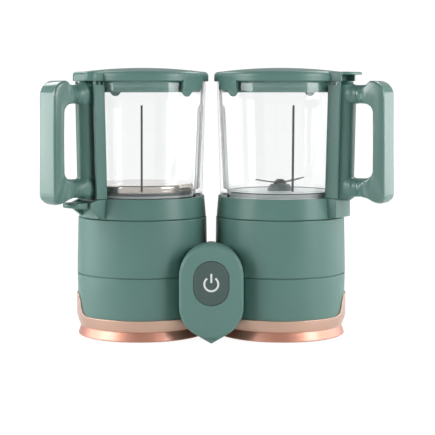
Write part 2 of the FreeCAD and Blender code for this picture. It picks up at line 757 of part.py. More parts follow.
def base_plate(side):
    """Round plate under a base, with air slots and counterbored screw holes."""
    body = new_body(side + "_base_plate")
    disc = new_sketch(body, "XY", lift=d.foot_height)
    circle(disc, 0.0, 0.0, ring_bore + d.foot_height - d.fit)
    pad(body, disc, d.plate_thickness)
    spots = screw_spots(screw_circle, 60.0)
    drill(body, "XY", plate_top, spots, d.screw_radius + d.seat)
    drill(body, "XY", d.foot_height, spots, d.screw_head_radius + d.fit,
          length=d.screw_head_height, backwards=True)
    slot = new_sketch(body, "XY", lift=plate_top)
    half = d.vent_width / 2
    end = d.vent_circle + d.vent_length
    outline(slot, [
        (d.vent_circle, -half), (end, -half, half, LEFT_RUN), (end + half, 0.0, half, LEFT_RUN),
        (end, half), (d.vent_circle, half, half, LEFT_RUN), (d.vent_circle - half, 0.0, half, LEFT_RUN),
    ])
    vent = pocket(body, slot)
    ring_of(body, vent, 9)
    place(body, SIDES[side][0], OUTWARD[side])
    return body


def deck_edge():
    """The outer corners that both decks share, from the underside to the top, inwards."""
    radius = housing_top_radius - d.band_wall - d.seat
    inner = d.locator_radius - d.locator_wall
    return [
        (d.deck_well, deck_bottom), (radius, deck_bottom), (radius, deck_top - d.deck_rise),
        (radius - d.deck_rise, deck_top), (d.locator_radius, deck_top),
        (d.locator_radius, deck_top + d.locator_height), (inner, deck_top + d.locator_height),
        (inner, deck_top),
    ]


def left_deck():
    """Deck of the steam base, with a well for the cordless connector."""
    body = new_body("left_deck")
    well = d.connector_flange + d.seat
    floor = deck_top - d.connector_flange_height
    revolve(body, [(0.0, well_bottom), (d.deck_well, well_bottom)] + deck_edge() + [
        (well, deck_top), (well, floor), (0.0, floor)])
    place(body, SIDES["left"][0], OUTWARD["left"])
    return body


def right_deck():
    """Deck of the blender base, with a well for the coupling and a seat for the shaft's bush."""
    body = new_body("right_deck")
    bore = d.bush_radius + d.seat
    tube = bore + d.bush_wall
    revolve(body, [(bore, d.bush_bottom), (tube, d.bush_bottom), (tube, well_bottom),
                   (d.deck_well, well_bottom)] + deck_edge() + [
        (d.drive_well, deck_top), (d.drive_well, deck_bottom), (bore, deck_bottom)])
    place(body, SIDES["right"][0], OUTWARD["right"])
    return body


def rubber_feet():
    """Three tapered feet under each base plate."""
    foot = new_body("foot_pattern")
    inset = d.foot_height / 3
    revolve(foot, [(0.0, 0.0), (d.foot_radius - inset, 0.0), (d.foot_radius, inset),
                   (d.foot_radius, d.foot_height), (0.0, d.foot_height)])
    return copies_of("rubber_feet", foot, base_places(d.foot_circle, 0.0))


def base_places(circle_radius, start):
    """Places of the fixings on both bases, three round each axis."""
    places = []
    for side, (x, _) in SIDES.items():
        for u, v in screw_spots(circle_radius, start):
            sign = -1 if OUTWARD[side] else 1
            places.append(Placement(Vector(number(x) + sign * u.value, sign * v.value, 0), Rotation()))
    return places


def base_screws():
    """Screws up through the base plates into the posts of the lower bands."""
    screw = new_body("screw_pattern")
    under_head = d.foot_height + d.screw_head_height
    revolve(screw, [(0.0, d.foot_height), (d.screw_head_radius, d.foot_height),
                    (d.screw_head_radius, under_head), (d.screw_radius, under_head),
                    (d.screw_radius, under_head + d.screw_length), (0.0, under_head + d.screw_length)])
    return copies_of("base_screws", screw, base_places(screw_circle, 60.0))


# Bridge and control pod


def drop_outline(sketch):
    """The drop: a round top and bottom, and two straight runs from the bottom round to the tip."""
    radius = d.pod_radius
    to_tip = radius + d.pod_tip
    touch_x = radius * leg(to_tip, radius) / to_tip
    touch_z = d.pod_low_centre - radius * radius / to_tip
    outline(sketch, [
        (0.0, d.pod_low_centre - to_tip), (touch_x, touch_z, radius, LEFT_RUN),
        (radius, d.pod_low_centre), (radius, d.pod_high_centre, radius, LEFT_RUN),
        (0.0, d.pod_high_centre + radius, radius, LEFT_RUN), (-radius, d.pod_high_centre),
        (-radius, d.pod_low_centre, radius, LEFT_RUN), (-touch_x, touch_z),
    ])


def scoop(body):
    """Hollow the sides out round the two bases."""
    sketch = new_sketch(body, "XY")
    circle(sketch, axis_offset, 0.0, scoop_radius)
    circle(sketch, -axis_offset, 0.0, scoop_radius)
    pocket(body, sketch, symmetric=True)


def pod_housing():
    """Drop-shaped housing, scooped behind to nest between the bases and hollow in front."""
    body = new_body("pod_housing")
    sketch = new_sketch(body, "XZ", lift=d.pod_back)
    drop_outline(sketch)
    pad(body, sketch, face_back - d.pod_back)
    scoop(body)
    hollow = new_sketch(body, "XZ", lift=face_back)
    stadium(hollow, d.pod_radius - d.pod_wall, d.pod_low_centre, d.pod_high_centre)
    pocket(body, hollow, length=face_back - d.pod_floor)
    return body


def bridge():
    """Web that joins the pod to both bases, with the round top of the drop."""
    body = new_body("bridge")
    sketch = new_sketch(body, "XZ", lift=-d.bridge_back)
    radius = d.pod_radius
    centre = d.pod_high_centre - d.bridge_drop
    outline(sketch, [
        (-radius, d.bridge_bottom), (radius, d.bridge_bottom),
        (radius, centre, radius, LEFT_RUN), (0.0, centre + radius, radius, LEFT_RUN), (-radius, centre),
    ])
    pad(body, sketch, d.bridge_back + d.pod_back)
    scoop(body)
    undercut = new_sketch(body, "YZ")
    past, below = d.pod_back + d.bridge_front, d.bridge_bottom / 2
    outline(undercut, [(-past, below), (-d.bridge_front, below), (-d.bridge_front, d.bridge_step),
                       (-past, d.bridge_step)])
    pocket(body, undercut, symmetric=True)
    return body


def bridge_foot():
    """Rubber strip under the bridge."""
    body = new_body("bridge_foot")
    sketch = new_sketch(body, "XY")
    half = d.bridge_foot_half
    front = -d.bridge_foot_front
    back = d.bridge_foot_back
    outline(sketch, [
        (-half, front, half, LEFT_RUN), (0.0, front - half, half, LEFT_RUN), (half, front),
        (half, back - half, half, LEFT_RUN), (0.0, back, half, LEFT_RUN), (-half, back - half),
    ])
    pad(body, sketch, d.bridge_bottom)
    return body


def oval(sketch, margin):
    """The button's oval, larger all round by a margin."""
    half = d.button_straight / 2
    stadium(sketch, d.button_radius + margin, d.button_height - half, d.button_height + half)


def pod_face():
    """Raised face plate with bevelled edges and an oval opening for the button."""
    body = new_body("pod_face")
    sketch = new_sketch(body, "XZ", lift=face_back)
    stadium(sketch, d.pod_radius - d.pod_face_inset, d.pod_low_centre, d.pod_high_centre)
    pad(body, sketch, d.pod_face_thickness)
    front = -d.pod_front.value
    soften(body, d.pod_face_chamfer, lambda edge: abs(edge.BoundBox.YMax - front) < 0.01, "Chamfer")
    opening = new_sketch(body, "XZ", lift=d.pod_front)
    oval(opening, d.button_gap)
    pocket(body, opening)
    return body


def power_button():
    """Oval push button, with a flange behind the face plate and a boss over the switch."""
    body = new_body("power_button")
    flange_front = face_back - d.seat
    flange_back = flange_front - d.button_flange
    flange = new_sketch(body, "XZ", lift=flange_back)
    oval(flange, d.button_flange)
    pad(body, flange, d.button_flange)
    cap = new_sketch(body, "XZ", lift=flange_back)
    oval(cap, 0.0)
    pad(body, cap, d.pod_front + d.button_proud - flange_back)
    front = -(d.pod_front + d.button_proud).value
    soften(body, d.button_proud, lambda edge: abs(edge.BoundBox.YMax - front) < 0.01)
    boss = new_sketch(body, "XZ", lift=flange_back)
    circle(boss, 0.0, d.button_height, d.plunger_radius + d.button_flange)
    pad(body, boss, d.button_flange / 2, backwards=True)
    return body


def control_board():
    """Board on the floor of the pod's hollow."""
    body = new_body("control_board")
    sketch = new_sketch(body, "XZ", lift=d.pod_floor)
    half = d.board_half_width
    middle = (d.pod_low_centre + d.pod_high_centre) / 2
    low = middle - d.board_half_height
    high = middle + d.board_half_height
    outline(sketch, [(-half, low), (half, low), (half, high), (-half, high)])
    pad(body, sketch, d.board_thickness)
    return body


def button_switch():
    """Push switch on the board, its plunger just behind the button."""
    body = new_body("button_switch")
    bottom = d.pod_floor + d.board_thickness
    half = d.switch_half
    base = new_sketch(body, "XZ", lift=bottom)
    outline(base, [(-half, d.button_height - half), (half, d.button_height - half),
                   (half, d.button_height + half), (-half, d.button_height + half)])
    pad(body, base, d.switch_height)
    plunger = new_sketch(body, "XZ", lift=bottom)
    circle(plunger, 0.0, d.button_height, d.plunger_radius)
    boss_back = face_back - d.seat - d.button_flange - d.button_flange / 2
    pad(body, plunger, boss_back - d.button_travel - d.seat - bottom)
    return body


# Inside the left base


def base_connector():
    """Round pin of the cordless connector, standing on the left deck."""
    body = new_body("base_connector")
    floor = deck_top - d.connector_flange_height
    top = deck_top + d.connector_height
    edge = d.connector_radius / 4
    revolve(body, [
        (0.0, floor), (d.connector_flange, floor), (d.connector_flange, deck_top),
        (d.connector_radius, deck_top), (d.connector_radius, top - edge, edge, LEFT_RUN),
        (d.connector_radius - edge, top), (0.0, top),
    ])
    place(body, SIDES["left"][0], OUTWARD["left"])
    return body


def power_board():
    """Board on spacers over the left base plate, with its transformer and capacitors."""
    body = new_body("power_board")
    long_half, half = d.power_half_length, d.power_half_width
    bottom = plate_top + d.spacer_height
    top = bottom + d.board_thickness
    board = new_sketch(body, "XY", lift=bottom)
    outline(board, [(-long_half, -half), (long_half, -half), (long_half, half), (-long_half, half)])
    pad(body, board, d.board_thickness)
    spacers = new_sketch(body, "XY", lift=plate_top)
    inset = d.spacer_radius + d.board_thickness
    for x in (inset - long_half, long_half - inset):
        for y in (inset - half, half - inset):
            circle(spacers, x, y, d.spacer_radius)
    pad(body, spacers, d.spacer_height + d.board_thickness)
    block = new_sketch(body, "XY", lift=bottom)
    side = d.transformer_half
    left = inset - long_half
    outline(block, [(left, -side), (left + side * 2, -side), (left + side * 2, side), (left, side)])
    pad(body, block, top - bottom + d.transformer_height)
    cans = new_sketch(body, "XY", lift=bottom)
    for y in (-d.capacitor_radius - d.spacer_radius, d.capacitor_radius + d.spacer_radius):
        circle(cans, d.transformer_half, y, d.capacitor_radius)
    pad(body, cans, top - bottom + d.capacitor_height)
    place(body, SIDES["left"][0], OUTWARD["left"])
    return body


# Motor and drive in the right base


def motor_cradle():
    """Cup on the right base plate that holds the motor."""
    body = new_body("motor_cradle")
    bore = d.motor_radius + d.seat
    floor = plate_top + d.cradle_floor
    revolve(body, [(0.0, plate_top), (bore + d.cradle_wall, plate_top),
                   (bore + d.cradle_wall, floor + d.cradle_height), (bore, floor + d.cradle_height),
                   (bore, floor), (0.0, floor)])
    place(body, SIDES["right"][0], OUTWARD["right"])
    return body


def motor():
    """Motor can with a bearing nose round its shaft."""
    body = new_body("motor")
    bottom = plate_top + d.cradle_floor
    bore = d.shaft_radius + d.running_fit
    shoulder = d.motor_nose / 3
    revolve(body, [
        (0.0, bottom), (d.motor_radius, bottom), (d.motor_radius, d.motor_top - shoulder),
        (d.motor_radius - shoulder, d.motor_top), (d.motor_nose, d.motor_top),
        (d.motor_nose, d.motor_nose_top), (bore, d.motor_nose_top), (bore, d.shaft_bottom),
        (0.0, d.shaft_bottom),
    ])
    place(body, SIDES["right"][0], OUTWARD["right"])
    return body


def motor_shaft():
    """Shaft from inside the motor up into the drive coupling."""
    body = new_body("motor_shaft")
    sketch = new_sketch(body, "XY", lift=d.shaft_bottom + d.seat)
    circle(sketch, 0.0, 0.0, d.shaft_radius)
    pad(body, sketch, deck_top + d.drive_height / 2 - d.shaft_bottom - d.seat)
    place(body, SIDES["right"][0], OUTWARD["right"])
    return body


def cooling_fan():
    """Radial fan on the shaft: a disc, a hub and upright blades."""
    body = new_body("cooling_fan")
    bore = d.shaft_radius + d.running_fit / 2
    top = d.fan_bottom + d.fan_height
    revolve(body, [
        (bore, d.fan_bottom), (d.fan_radius, d.fan_bottom),
        (d.fan_radius, d.fan_bottom + d.fan_disc), (d.fan_hub, d.fan_bottom + d.fan_disc),
        (d.fan_hub, top), (bore, top),
    ])
    blade = new_sketch(body, "XY", lift=d.fan_bottom)
    half = d.fan_blade / 2
    start, end = d.fan_hub - half, d.fan_radius - half
    outline(blade, [(start, -half), (end, -half), (end, half), (start, half)])
    ring_of(body, pad(body, blade, d.fan_height), int(d.fan_blades.value))
    place(body, SIDES["right"][0], OUTWARD["right"])
    return body


def shaft_bearing():
    """Bush for the motor shaft in the right deck."""
    body = new_body("shaft_bearing")
    bore = d.shaft_radius + d.running_fit
    revolve(body, [(bore, d.bush_bottom), (d.bush_radius, d.bush_bottom),
                   (d.bush_radius, deck_bottom), (bore, deck_bottom)])
    place(body, SIDES["right"][0], OUTWARD["right"])
    return body


def star(body, lift, height, spigot, lobe):
    """A round middle with lobes round it, raised from a height."""
    middle = new_sketch(body, "XY", lift=lift)
    circle(middle, 0.0, 0.0, spigot)
    pad(body, middle, height)
    sketch = new_sketch(body, "XY", lift=lift)
    circle(sketch, d.lobe_circle, 0.0, lobe)
    ring_of(body, pad(body, sketch, height), int(d.lobes.value))


def drive_coupling():
    """Star on top of the motor shaft, standing out of the right deck."""
    body = new_body("drive_coupling")
    disc = new_sketch(body, "XY", lift=deck_bottom + d.fit)
    circle(disc, 0.0, 0.0, d.drive_hub)
    pad(body, disc, d.deck_thickness - d.fit)
    star(body, deck_top - d.fit, d.drive_height + d.fit, d.drive_spigot, d.lobe_radius)
    drill(body, "XY", deck_bottom + d.fit, [(0.0, 0.0)], d.shaft_radius + d.running_fit / 2,
          length=d.deck_thickness + d.drive_height / 2, backwards=True)
    place(body, SIDES["right"][0], OUTWARD["right"])
    return body


def cord_gland():
    """Bushing at the back of the right base that a cord would pass through."""
    body = new_body("cord_gland")
    flange = d.gland_flange_thickness
    tip = (d.gland_bore + d.gland_radius) / 2 + d.seat
    revolve(body, [
        (d.gland_bore, -d.band_wall - flange), (d.gland_radius, -d.band_wall - flange),
        (d.gland_radius, 0.0), (d.gland_flange, 0.0), (d.gland_flange, flange),
        (d.gland_radius + d.seat, flange), (tip, flange + d.gland_nose),
        (d.gland_bore, flange + d.gland_nose),
    ])
    wall = band_radius(d.gland_height + d.gland_flange) + d.seat
    body.Placement = Placement(Vector(), Rotation(Vector(1, 0, 0), -90))
    body.setExpression("Placement.Base.x", axis_offset.text)
    body.setExpression("Placement.Base.y", wall.text)
    body.setExpression("Placement.Base.z", d.gland_height.text)
    return body


# Jugs: each is built with its handle along +X, then turned to its place


def glass(side):
    """Tapered glass with a thick foot, a rounded rim and two upright ribs inside."""
    body = new_body(side + "_glass")
    edge = d.fit * 2
    rim_inside = d.glass_top_radius - d.glass_rim_wall
    revolve(body, [
        (glass_hole, glass_bottom), (d.glass_base_radius - edge, glass_bottom),
        (glass_radius(glass_bottom + edge), glass_bottom + edge),
        (glass_radius(d.glass_top - edge), d.glass_top - edge, edge, LEFT_RUN),
        (d.glass_top_radius - edge, d.glass_top), (rim_inside + edge, d.glass_top, edge, LEFT_RUN),
        (rim_inside, d.glass_top - edge),
        (glass_inside(d.glass_floor + d.glass_cove), d.glass_floor + d.glass_cove, d.glass_cove, RIGHT_RUN),
        (glass_floor_radius - d.glass_cove, d.glass_floor), (glass_hole, d.glass_floor),
    ])
    for turn in (d.rib_turn, -d.rib_turn):
        rib = new_sketch(body, "XZ", turn=turn)
        inner_foot = glass_inside(d.glass_floor) - d.rib_depth
        inner_top = glass_inside(d.rib_top) - d.rib_depth
        outline(rib, [
            (inner_foot, d.glass_floor - edge), (inner_foot + d.glass_rim_wall, d.glass_floor - edge),
            (inner_top + d.glass_rim_wall, d.rib_top + d.rib_depth),
            (inner_top + d.rib_depth, d.rib_top + d.rib_depth), (inner_top, d.rib_top),
        ])
        pad(body, rib, d.rib_half * 2, symmetric=True)
    place(body, *SIDES[side])
    return body


def collar(side):
    """Ring that carries the glass, with a boss under the handle.

    The left boss is a wedge of two cheeks with a slot for the release lever between them.
    """
    body = new_body(side + "_collar")
    edge = d.collar_edge
    hole = d.collar_hole if side == "left" else d.drive_hole
    recess = collar_bottom_radius - d.collar_foot_wall
    cavity = dish_radius - d.cavity_inset
    revolve(body, [
        (hole, collar_ceiling), (recess, collar_ceiling), (recess, collar_bottom),
        (collar_bottom_radius - edge, collar_bottom, edge, LEFT_RUN),
        (collar_bottom_radius, collar_bottom + edge),
        (collar_top_radius, collar_top - edge, edge, LEFT_RUN), (collar_top_radius - edge, collar_top),
        (lip_bore, collar_top), (lip_bore, shelf), (cavity, shelf),
        (cavity, collar_floor_top), (hole, collar_floor_top),
    ])
    low = collar_bottom + d.boss_bottom
    high = collar_top - d.boss_top
    start = leg(lip_bore, d.boss_half) + (collar_top_radius - lip_bore) / 2
    boss = new_sketch(body, "XZ")
    if side == "right":
        reach = collar_top_radius + d.plain_boss_depth
        outline(boss, [(start, low), (reach, low), (reach, high), (start, high)])
    else:
        outline(boss, [(start, low), (collar_bottom_radius + d.lever_boss_foot, low),
                       (lever_boss_top, high - d.lever_boss_edge), (lever_boss_top, high),
                       (start, high)])
    pad(body, boss, d.boss_half * 2, symmetric=True)
    if side == "left":
        cut_lever_slot(body, low)
    hollow = new_sketch(body, "XY", lift=shelf)
    circle(hollow, 0.0, 0.0, lip_bore)
    pocket(body, hollow, length=d.lip_depth + d.fit, backwards=True)
    place(body, *SIDES[side])
    return body


def cut_lever_slot(body, low):
    """Slot through the left boss, open below and outwards, and the holes for the lever's pin."""
    slot = new_sketch(body, "XZ")
    back = lever_pivot - d.lever_hub - d.slot_gap
    roof = lever_height + d.lever_hub + d.slot_gap
    past = lever_boss_top + d.lever_hub
    outline(slot, [(back, low - d.lever_hub), (past, low - d.lever_hub), (past, roof), (back, roof)])
    pocket(body, slot, length=(d.lever_half + d.fit) * 2, symmetric=True)
    pin = new_sketch(body, "XZ")
    circle(pin, lever_pivot, lever_height, d.pin_radius + d.running_fit / 2)
    pocket(body, pin, symmetric=True)


def lever_pin():
    """Pin across the left boss."""
    body = new_body("lever_pin")
    sketch = new_sketch(body, "XZ")
    circle(sketch, lever_pivot, lever_height, d.pin_radius)
    pad(body, sketch, d.pin_half * 2, symmetric=True)
    place(body, *SIDES["left"])
    return body


def release_lever():
    """Paddle on the pin, thinner towards its rounded tip."""
    body = new_body("release_lever")
    sketch = new_sketch(body, "XZ")
    hub = d.lever_hub
    pivot = lever_pivot
    tip = pivot + d.lever_length
    top = lever_height + hub
    outline(sketch, [
        (pivot, lever_height - hub), (tip, top - d.lever_tip_thickness), (tip, top),
        (pivot, top, hub, LEFT_RUN), (pivot - hub, lever_height, hub, LEFT_RUN),
    ])
    pad(body, sketch, d.lever_half * 2, symmetric=True)
    corner, half = d.lever_round, d.lever_half
    trim = new_sketch(body, "XY")
    outline(trim, [
        (tip - corner, half, corner, RIGHT_RUN), (tip, half - corner), (tip + corner, half - corner),
        (tip + corner, half + corner), (tip - corner, half + corner),
    ])
    mirror(body, pocket(body, trim, symmetric=True), "XZ")
    bore = new_sketch(body, "XZ")
    circle(bore, pivot, lever_height, d.pin_radius + d.running_fit)
    pocket(body, bore, symmetric=True)
    place(body, *SIDES["left"])
    return body


def jug_seal(side):
    """Flat ring between the jug's floor and the glass."""
    body = new_body(side + "_jug_seal")
    bore = dish_radius + d.seal_gap
    revolve(body, [(bore, rim_top), (rim_radius, rim_top), (rim_radius, glass_bottom), (bore, glass_bottom)])
    place(body, *SIDES[side])
    return body


def steam_dish():
    """Steel floor of the steam jug: a raised dish with a rolled-out rim."""
    body = new_body("steam_dish")
    inside = dish_radius - d.dish_wall
    ceiling = d.dish_top - d.dish_wall
    revolve(body, [
        (inside, shelf), (rim_radius, shelf), (rim_radius, rim_top), (dish_radius, rim_top),
        (dish_radius, d.dish_top - d.dish_round, d.dish_round, LEFT_RUN),
        (dish_radius - d.dish_round, d.dish_top), (0.0, d.dish_top), (0.0, ceiling), (inside, ceiling),
    ])
    place(body, *SIDES["left"])
    return body


def heating_element():
    """Open ring under the steel dish, with two terminals down to the connector."""
    body = new_body("heating_element")
    top = d.dish_top - d.dish_wall
    bottom = top - d.element_height
    inner, outer = d.element_radius - d.element_half, d.element_radius + d.element_half
    revolve(body, [(inner, bottom), (outer, bottom), (outer, top), (inner, top)], sweep=d.element_sweep)
    terminals = new_sketch(body, "XY", lift=collar_floor_top)
    for turn in (150.0, 210.0):
        angle = fixed(turn)
        circle(terminals, d.element_radius * cosine(angle), d.element_radius * sine(angle),
               d.element_half / 2)
    pad(body, terminals, bottom + d.element_half - collar_floor_top)
    place(body, *SIDES["left"])
    return body


def jug_connector():
    """Socket of the cordless connector in the floor of the left collar."""
    body = new_body("jug_connector")
    bottom = collar_bottom + d.fit * 4
    top = collar_floor_top + d.socket_flange_height
    bore = d.connector_radius + d.fit
    roof = deck_top + d.connector_height + d.fit
    neck = d.collar_hole - d.seat
    revolve(body, [
        (bore, bottom), (neck, bottom), (neck, collar_floor_top), (d.socket_flange, collar_floor_top),
        (d.socket_flange, top), (0.0, top), (0.0, roof), (bore, roof),
    ])
    place(body, *SIDES["left"])
    return body


def blade_base():
    """Floor of the blender jug with the blade hub in its middle."""
    body = new_body("blade_base")
    edge = d.dish_wall
    revolve(body, [
        (d.hub_bore, d.hub_tube_bottom), (d.hub_tube, d.hub_tube_bottom), (d.hub_tube, shelf),
        (rim_radius, shelf), (rim_radius, rim_top), (dish_radius, rim_top),
        (dish_radius, d.hub_floor - edge, edge, LEFT_RUN), (dish_radius - edge, d.hub_floor),
        (d.hub_radius, d.hub_floor, d.hub_round, LEFT_RUN), (d.hub_top_radius, d.hub_top),
        (d.hub_bore, d.hub_top),
    ])
    place(body, *SIDES["right"])
    return body


def blade_bearing():
    """Flanged bush for the blade shaft."""
    body = new_body("blade_bearing")
    bore = d.spindle_radius + d.running_fit
    outer = d.hub_bore - d.running_fit
    flange = d.hub_tube_bottom - d.dish_wall
    revolve(body, [
        (bore, flange), (d.hub_tube, flange), (d.hub_tube, d.hub_tube_bottom),
        (outer, d.hub_tube_bottom), (outer, d.hub_top), (bore, d.hub_top),
    ])
    place(body, *SIDES["right"])
    return body


def driven_coupling():
    """Cup with a star-shaped socket that drops over the drive coupling."""
    body = new_body("driven_coupling")
    bottom = collar_bottom + d.fit * 4
    disc = new_sketch(body, "XY", lift=bottom)
    circle(disc, 0.0, 0.0, d.coupling_radius)
    pad(body, disc, coupling_top - bottom)
    middle = new_sketch(body, "XY", lift=bottom)
    circle(middle, 0.0, 0.0, d.drive_spigot + d.lobe_gap)
    pocket(body, middle, length=socket_top - bottom, backwards=True)
    lobe = new_sketch(body, "XY", lift=bottom)
    circle(lobe, d.lobe_circle, 0.0, d.lobe_radius + d.lobe_gap)
    ring_of(body, pocket(body, lobe, length=socket_top - bottom, backwards=True), int(d.lobes.value))
    place(body, SIDES["right"][0], OUTWARD["right"])
    return body


def blade_shaft():
    """Shaft from the driven coupling up to the blades."""
    body = new_body("blade_shaft")
    sketch = new_sketch(body, "XY", lift=coupling_top)
    circle(sketch, 0.0, 0.0, d.spindle_radius)
    pad(body, sketch, d.spindle_top - coupling_top)
    place(body, *SIDES["right"])
    return body


def blade(label, bottom, reach, rise, quarter):
    """Two-armed blade: a bent strip trimmed to a pair of curved, pointed arms."""
    body = new_body(label)
    half = d.blade_thickness
    lift = bottom + half
    strip = new_sketch(body, "XZ")
    tip = bottom + rise
    root_x = d.blade_root
    outline(strip, [
        (-reach, tip), (-root_x, bottom), (root_x, bottom), (reach, tip),
        (reach, tip + half), (root_x, lift), (-root_x, lift), (-reach, tip + half),
    ])
    pad(body, strip, d.blade_width * 2, symmetric=True)
    trim = new_sketch(body, "XY")
    wide = d.blade_width
    near = d.blade_width / 2
    past = reach + wide
    outline(trim, [
        (-past, near), (-root_x, near), (0.0, d.blade_root), (root_x, near, reach, RIGHT_RUN),
        (reach, -near), (past, -near), (past, past), (-past, past),
    ])
    cut = pocket(body, trim, symmetric=True)
    ring_of(body, cut, 2)
    drill(body, "XY", None, [(0.0, 0.0)], d.spindle_radius + d.running_fit / 2, symmetric=True)
    place(body, SIDES["right"][0], d.right_turn + quarter)
    return body


def blade_nut():
    """Six-sided cap nut over the end of the blade shaft."""
    body = new_body("blade_nut")
    bottom = d.hub_top + d.fit + d.blade_thickness * 2
    sketch = new_sketch(body, "XY", lift=bottom)
    corners = [fixed(60.0 * i) for i in range(6)]
    outline(sketch, [(d.nut_radius * cosine(turn), d.nut_radius * sine(turn)) for turn in corners])
    pad(body, sketch, d.nut_height)
    top = (bottom + d.nut_height).value
    soften(body, d.nut_height / 3, lambda edge: edge.BoundBox.ZMin > top - 0.01)
    drill(body, "XY", bottom, [(0.0, 0.0)], d.spindle_radius + d.running_fit / 2,
          length=d.spindle_top - bottom + d.seat, backwards=True)
    place(body, *SIDES["right"])
    return body


# Handles


def bracket_section(body, height):
    """Section of the bracket: an arc round the glass, two side flanges, two grooves and a round column."""
    back = glass_radius(height) + d.seat
    reach = bracket_reach(height)
    half = d.bracket_half
    column = d.column_radius
    apex = reach + d.column_proud
    centre = apex - column
    valley = reach - d.groove_depth
    corner = leg(back, half)
    sketch = new_sketch(body, "XY", lift=height)
    outline(sketch, [
        (corner, -half), (reach, -half), (reach, d.bracket_flange - half),
        (valley, d.bracket_flange - half), (valley, -column), (centre, -column, column, LEFT_RUN),
        (apex, 0.0, column, LEFT_RUN), (centre, column), (valley, column),
        (valley, half - d.bracket_flange), (reach, half - d.bracket_flange), (reach, half),
        (corner, half, back, RIGHT_RUN),
    ])
    return sketch


def handle_bracket(side):
    """Flanged bar along the glass with two round stubs for the grip's arms."""
    body = new_body(side + "_handle_bracket")
    loft = body.newObject("PartDesign::AdditiveLoft", "bar")
    loft.Profile = bracket_section(body, bracket_bottom)
    loft.Sections = [bracket_section(body, bracket_top)]
    loft.Ruled = True
    body.Tip = loft
    arms = (d.upper_arm, d.lower_arm)
    start = bracket_reach(bracket_bottom) - d.column_radius / 2
    stubs = new_sketch(body, "YZ", lift=start)
    for height in arms:
        circle(stubs, 0.0, height, d.arm_radius)
    pad(body, stubs, arm_seam - d.seat - start)
    spots = [(0.0, height) for height in arms]
    drill(body, "YZ", arm_seam, spots, d.handle_screw_radius + d.seat)
    drill(body, "YZ", handle_screw_start + d.handle_screw_radius, spots, d.handle_screw_head + d.fit)
    notches = new_sketch(body, "XZ")
    first = bracket_reach(bracket_top) - d.notch_gap - d.notch_width
    low, past = bracket_top - d.notch_depth, bracket_top + d.notch_depth
    for outer in (first + d.notch_width, first - d.notch_gap):
        near = outer - d.notch_width
        outline(notches, [(near, low), (outer, low), (outer, past), (near, past)])
    pocket(body, notches, symmetric=True)
    place(body, *SIDES[side])
    return body


def handle_grip(side):
    """D-shaped grip: an upright bar with a tail, and two arms that turn round towards the seams."""
    body = new_body(side + "_handle_grip")
    arm = d.arm_radius
    inner = grip_outer - d.grip_depth
    corner = d.grip_opening_round
    joint = inner - corner
    slope_sine, slope_cosine = sine(d.grip_tail_slope), cosine(d.grip_tail_slope)
    cove_end_x = joint + d.grip_cove * slope_sine
    cove_end_z = d.lower_arm - arm - d.grip_cove + d.grip_cove * slope_cosine
    tail = (grip_outer - cove_end_x) / (slope_sine + 1)
    opening_top, opening_bottom = d.upper_arm - arm, d.lower_arm + arm
    crest = grip_outer - d.grip_corner
    run, drop = crest - joint, d.grip_top - d.upper_arm - arm
    sway = (run * run + drop * drop) / (drop * 4)
    sketch = new_sketch(body, "XZ")
    outline(sketch, [
        (joint, d.lower_arm - arm, d.grip_cove, RIGHT_RUN), (cove_end_x, cove_end_z, tail, LEFT_RUN),
        (grip_outer, cove_end_z + tail * slope_cosine),
        (grip_outer, d.grip_top - d.grip_corner, d.grip_corner, LEFT_RUN),
        (crest, d.grip_top, sway, LEFT_RUN), (joint + run / 2, d.grip_top - drop / 2, sway, RIGHT_RUN),
        (joint, d.upper_arm + arm), (joint, opening_top, corner, RIGHT_RUN), (inner, opening_top - corner),
        (inner, opening_bottom + corner, corner, RIGHT_RUN), (joint, opening_bottom),
    ])
    pad(body, sketch, d.grip_half * 2, symmetric=True)
    start, outside = joint.value, d.grip_half.value

    def along_the_handle(edge):
        box = edge.BoundBox
        return box.XMax > start + 0.01 and min(abs(box.YMin), abs(box.YMax)) > outside - 0.01

    soften(body, d.grip_round, along_the_handle)
    end, half, bottom = d.grip_end_round, d.grip_half, cove_end_z + tail * slope_cosine - tail
    trim = new_sketch(body, "YZ", lift=grip_outer)
    outline(trim, [
        (half - end, bottom, end, LEFT_RUN), (half, bottom + end), (half + end, bottom + end),
        (half + end, bottom - end), (half - end, bottom - end),
    ])
    rounding = pocket(body, trim, length=d.grip_depth + corner)
    bind(rounding, "TaperAngle", d.grip_end_taper)
    mirror(body, rounding, "XZ")
    for height in (d.upper_arm, d.lower_arm):
        loft = body.newObject("PartDesign::AdditiveLoft", "arm")
        loft.Profile = round_section(body, arm_seam + d.seat, height)
        loft.Sections = [square_section(body, joint, height)]
        body.Tip = loft
    spots = [(0.0, d.upper_arm), (0.0, d.lower_arm)]
    drill(body, "YZ", handle_screw_end + d.fit, spots, d.handle_screw_radius + d.running_fit)
    place(body, *SIDES[side])
    return body


def round_section(body, distance, height):
    """Round end of a grip's arm, in eight arcs that match the sides and corners of the square one."""
    turns = [fixed(turn) for turn in (-30.0, 30.0, 60.0, 120.0, 150.0, 210.0, 240.0, 300.0)]
    radius = d.arm_radius
    sketch = new_sketch(body, "YZ", lift=distance)
    outline(sketch, [(radius * cosine(turn), height + radius * sine(turn), radius, LEFT_RUN)
                     for turn in turns])
    return sketch


def square_section(body, distance, height):
    """Section of the bar with its rounded edges, as high as the arm."""
    wide, tall, edge = d.grip_half, d.arm_radius, d.grip_round
    sketch = new_sketch(body, "YZ", lift=distance)
    outline(sketch, [
        (wide, height - tall + edge), (wide, height + tall - edge, edge, LEFT_RUN),
        (wide - edge, height + tall), (edge - wide, height + tall, edge, LEFT_RUN),
        (-wide, height + tall - edge), (-wide, height - tall + edge, edge, LEFT_RUN),
        (edge - wide, height - tall), (wide - edge, height - tall, edge, LEFT_RUN),
    ])
    return sketch


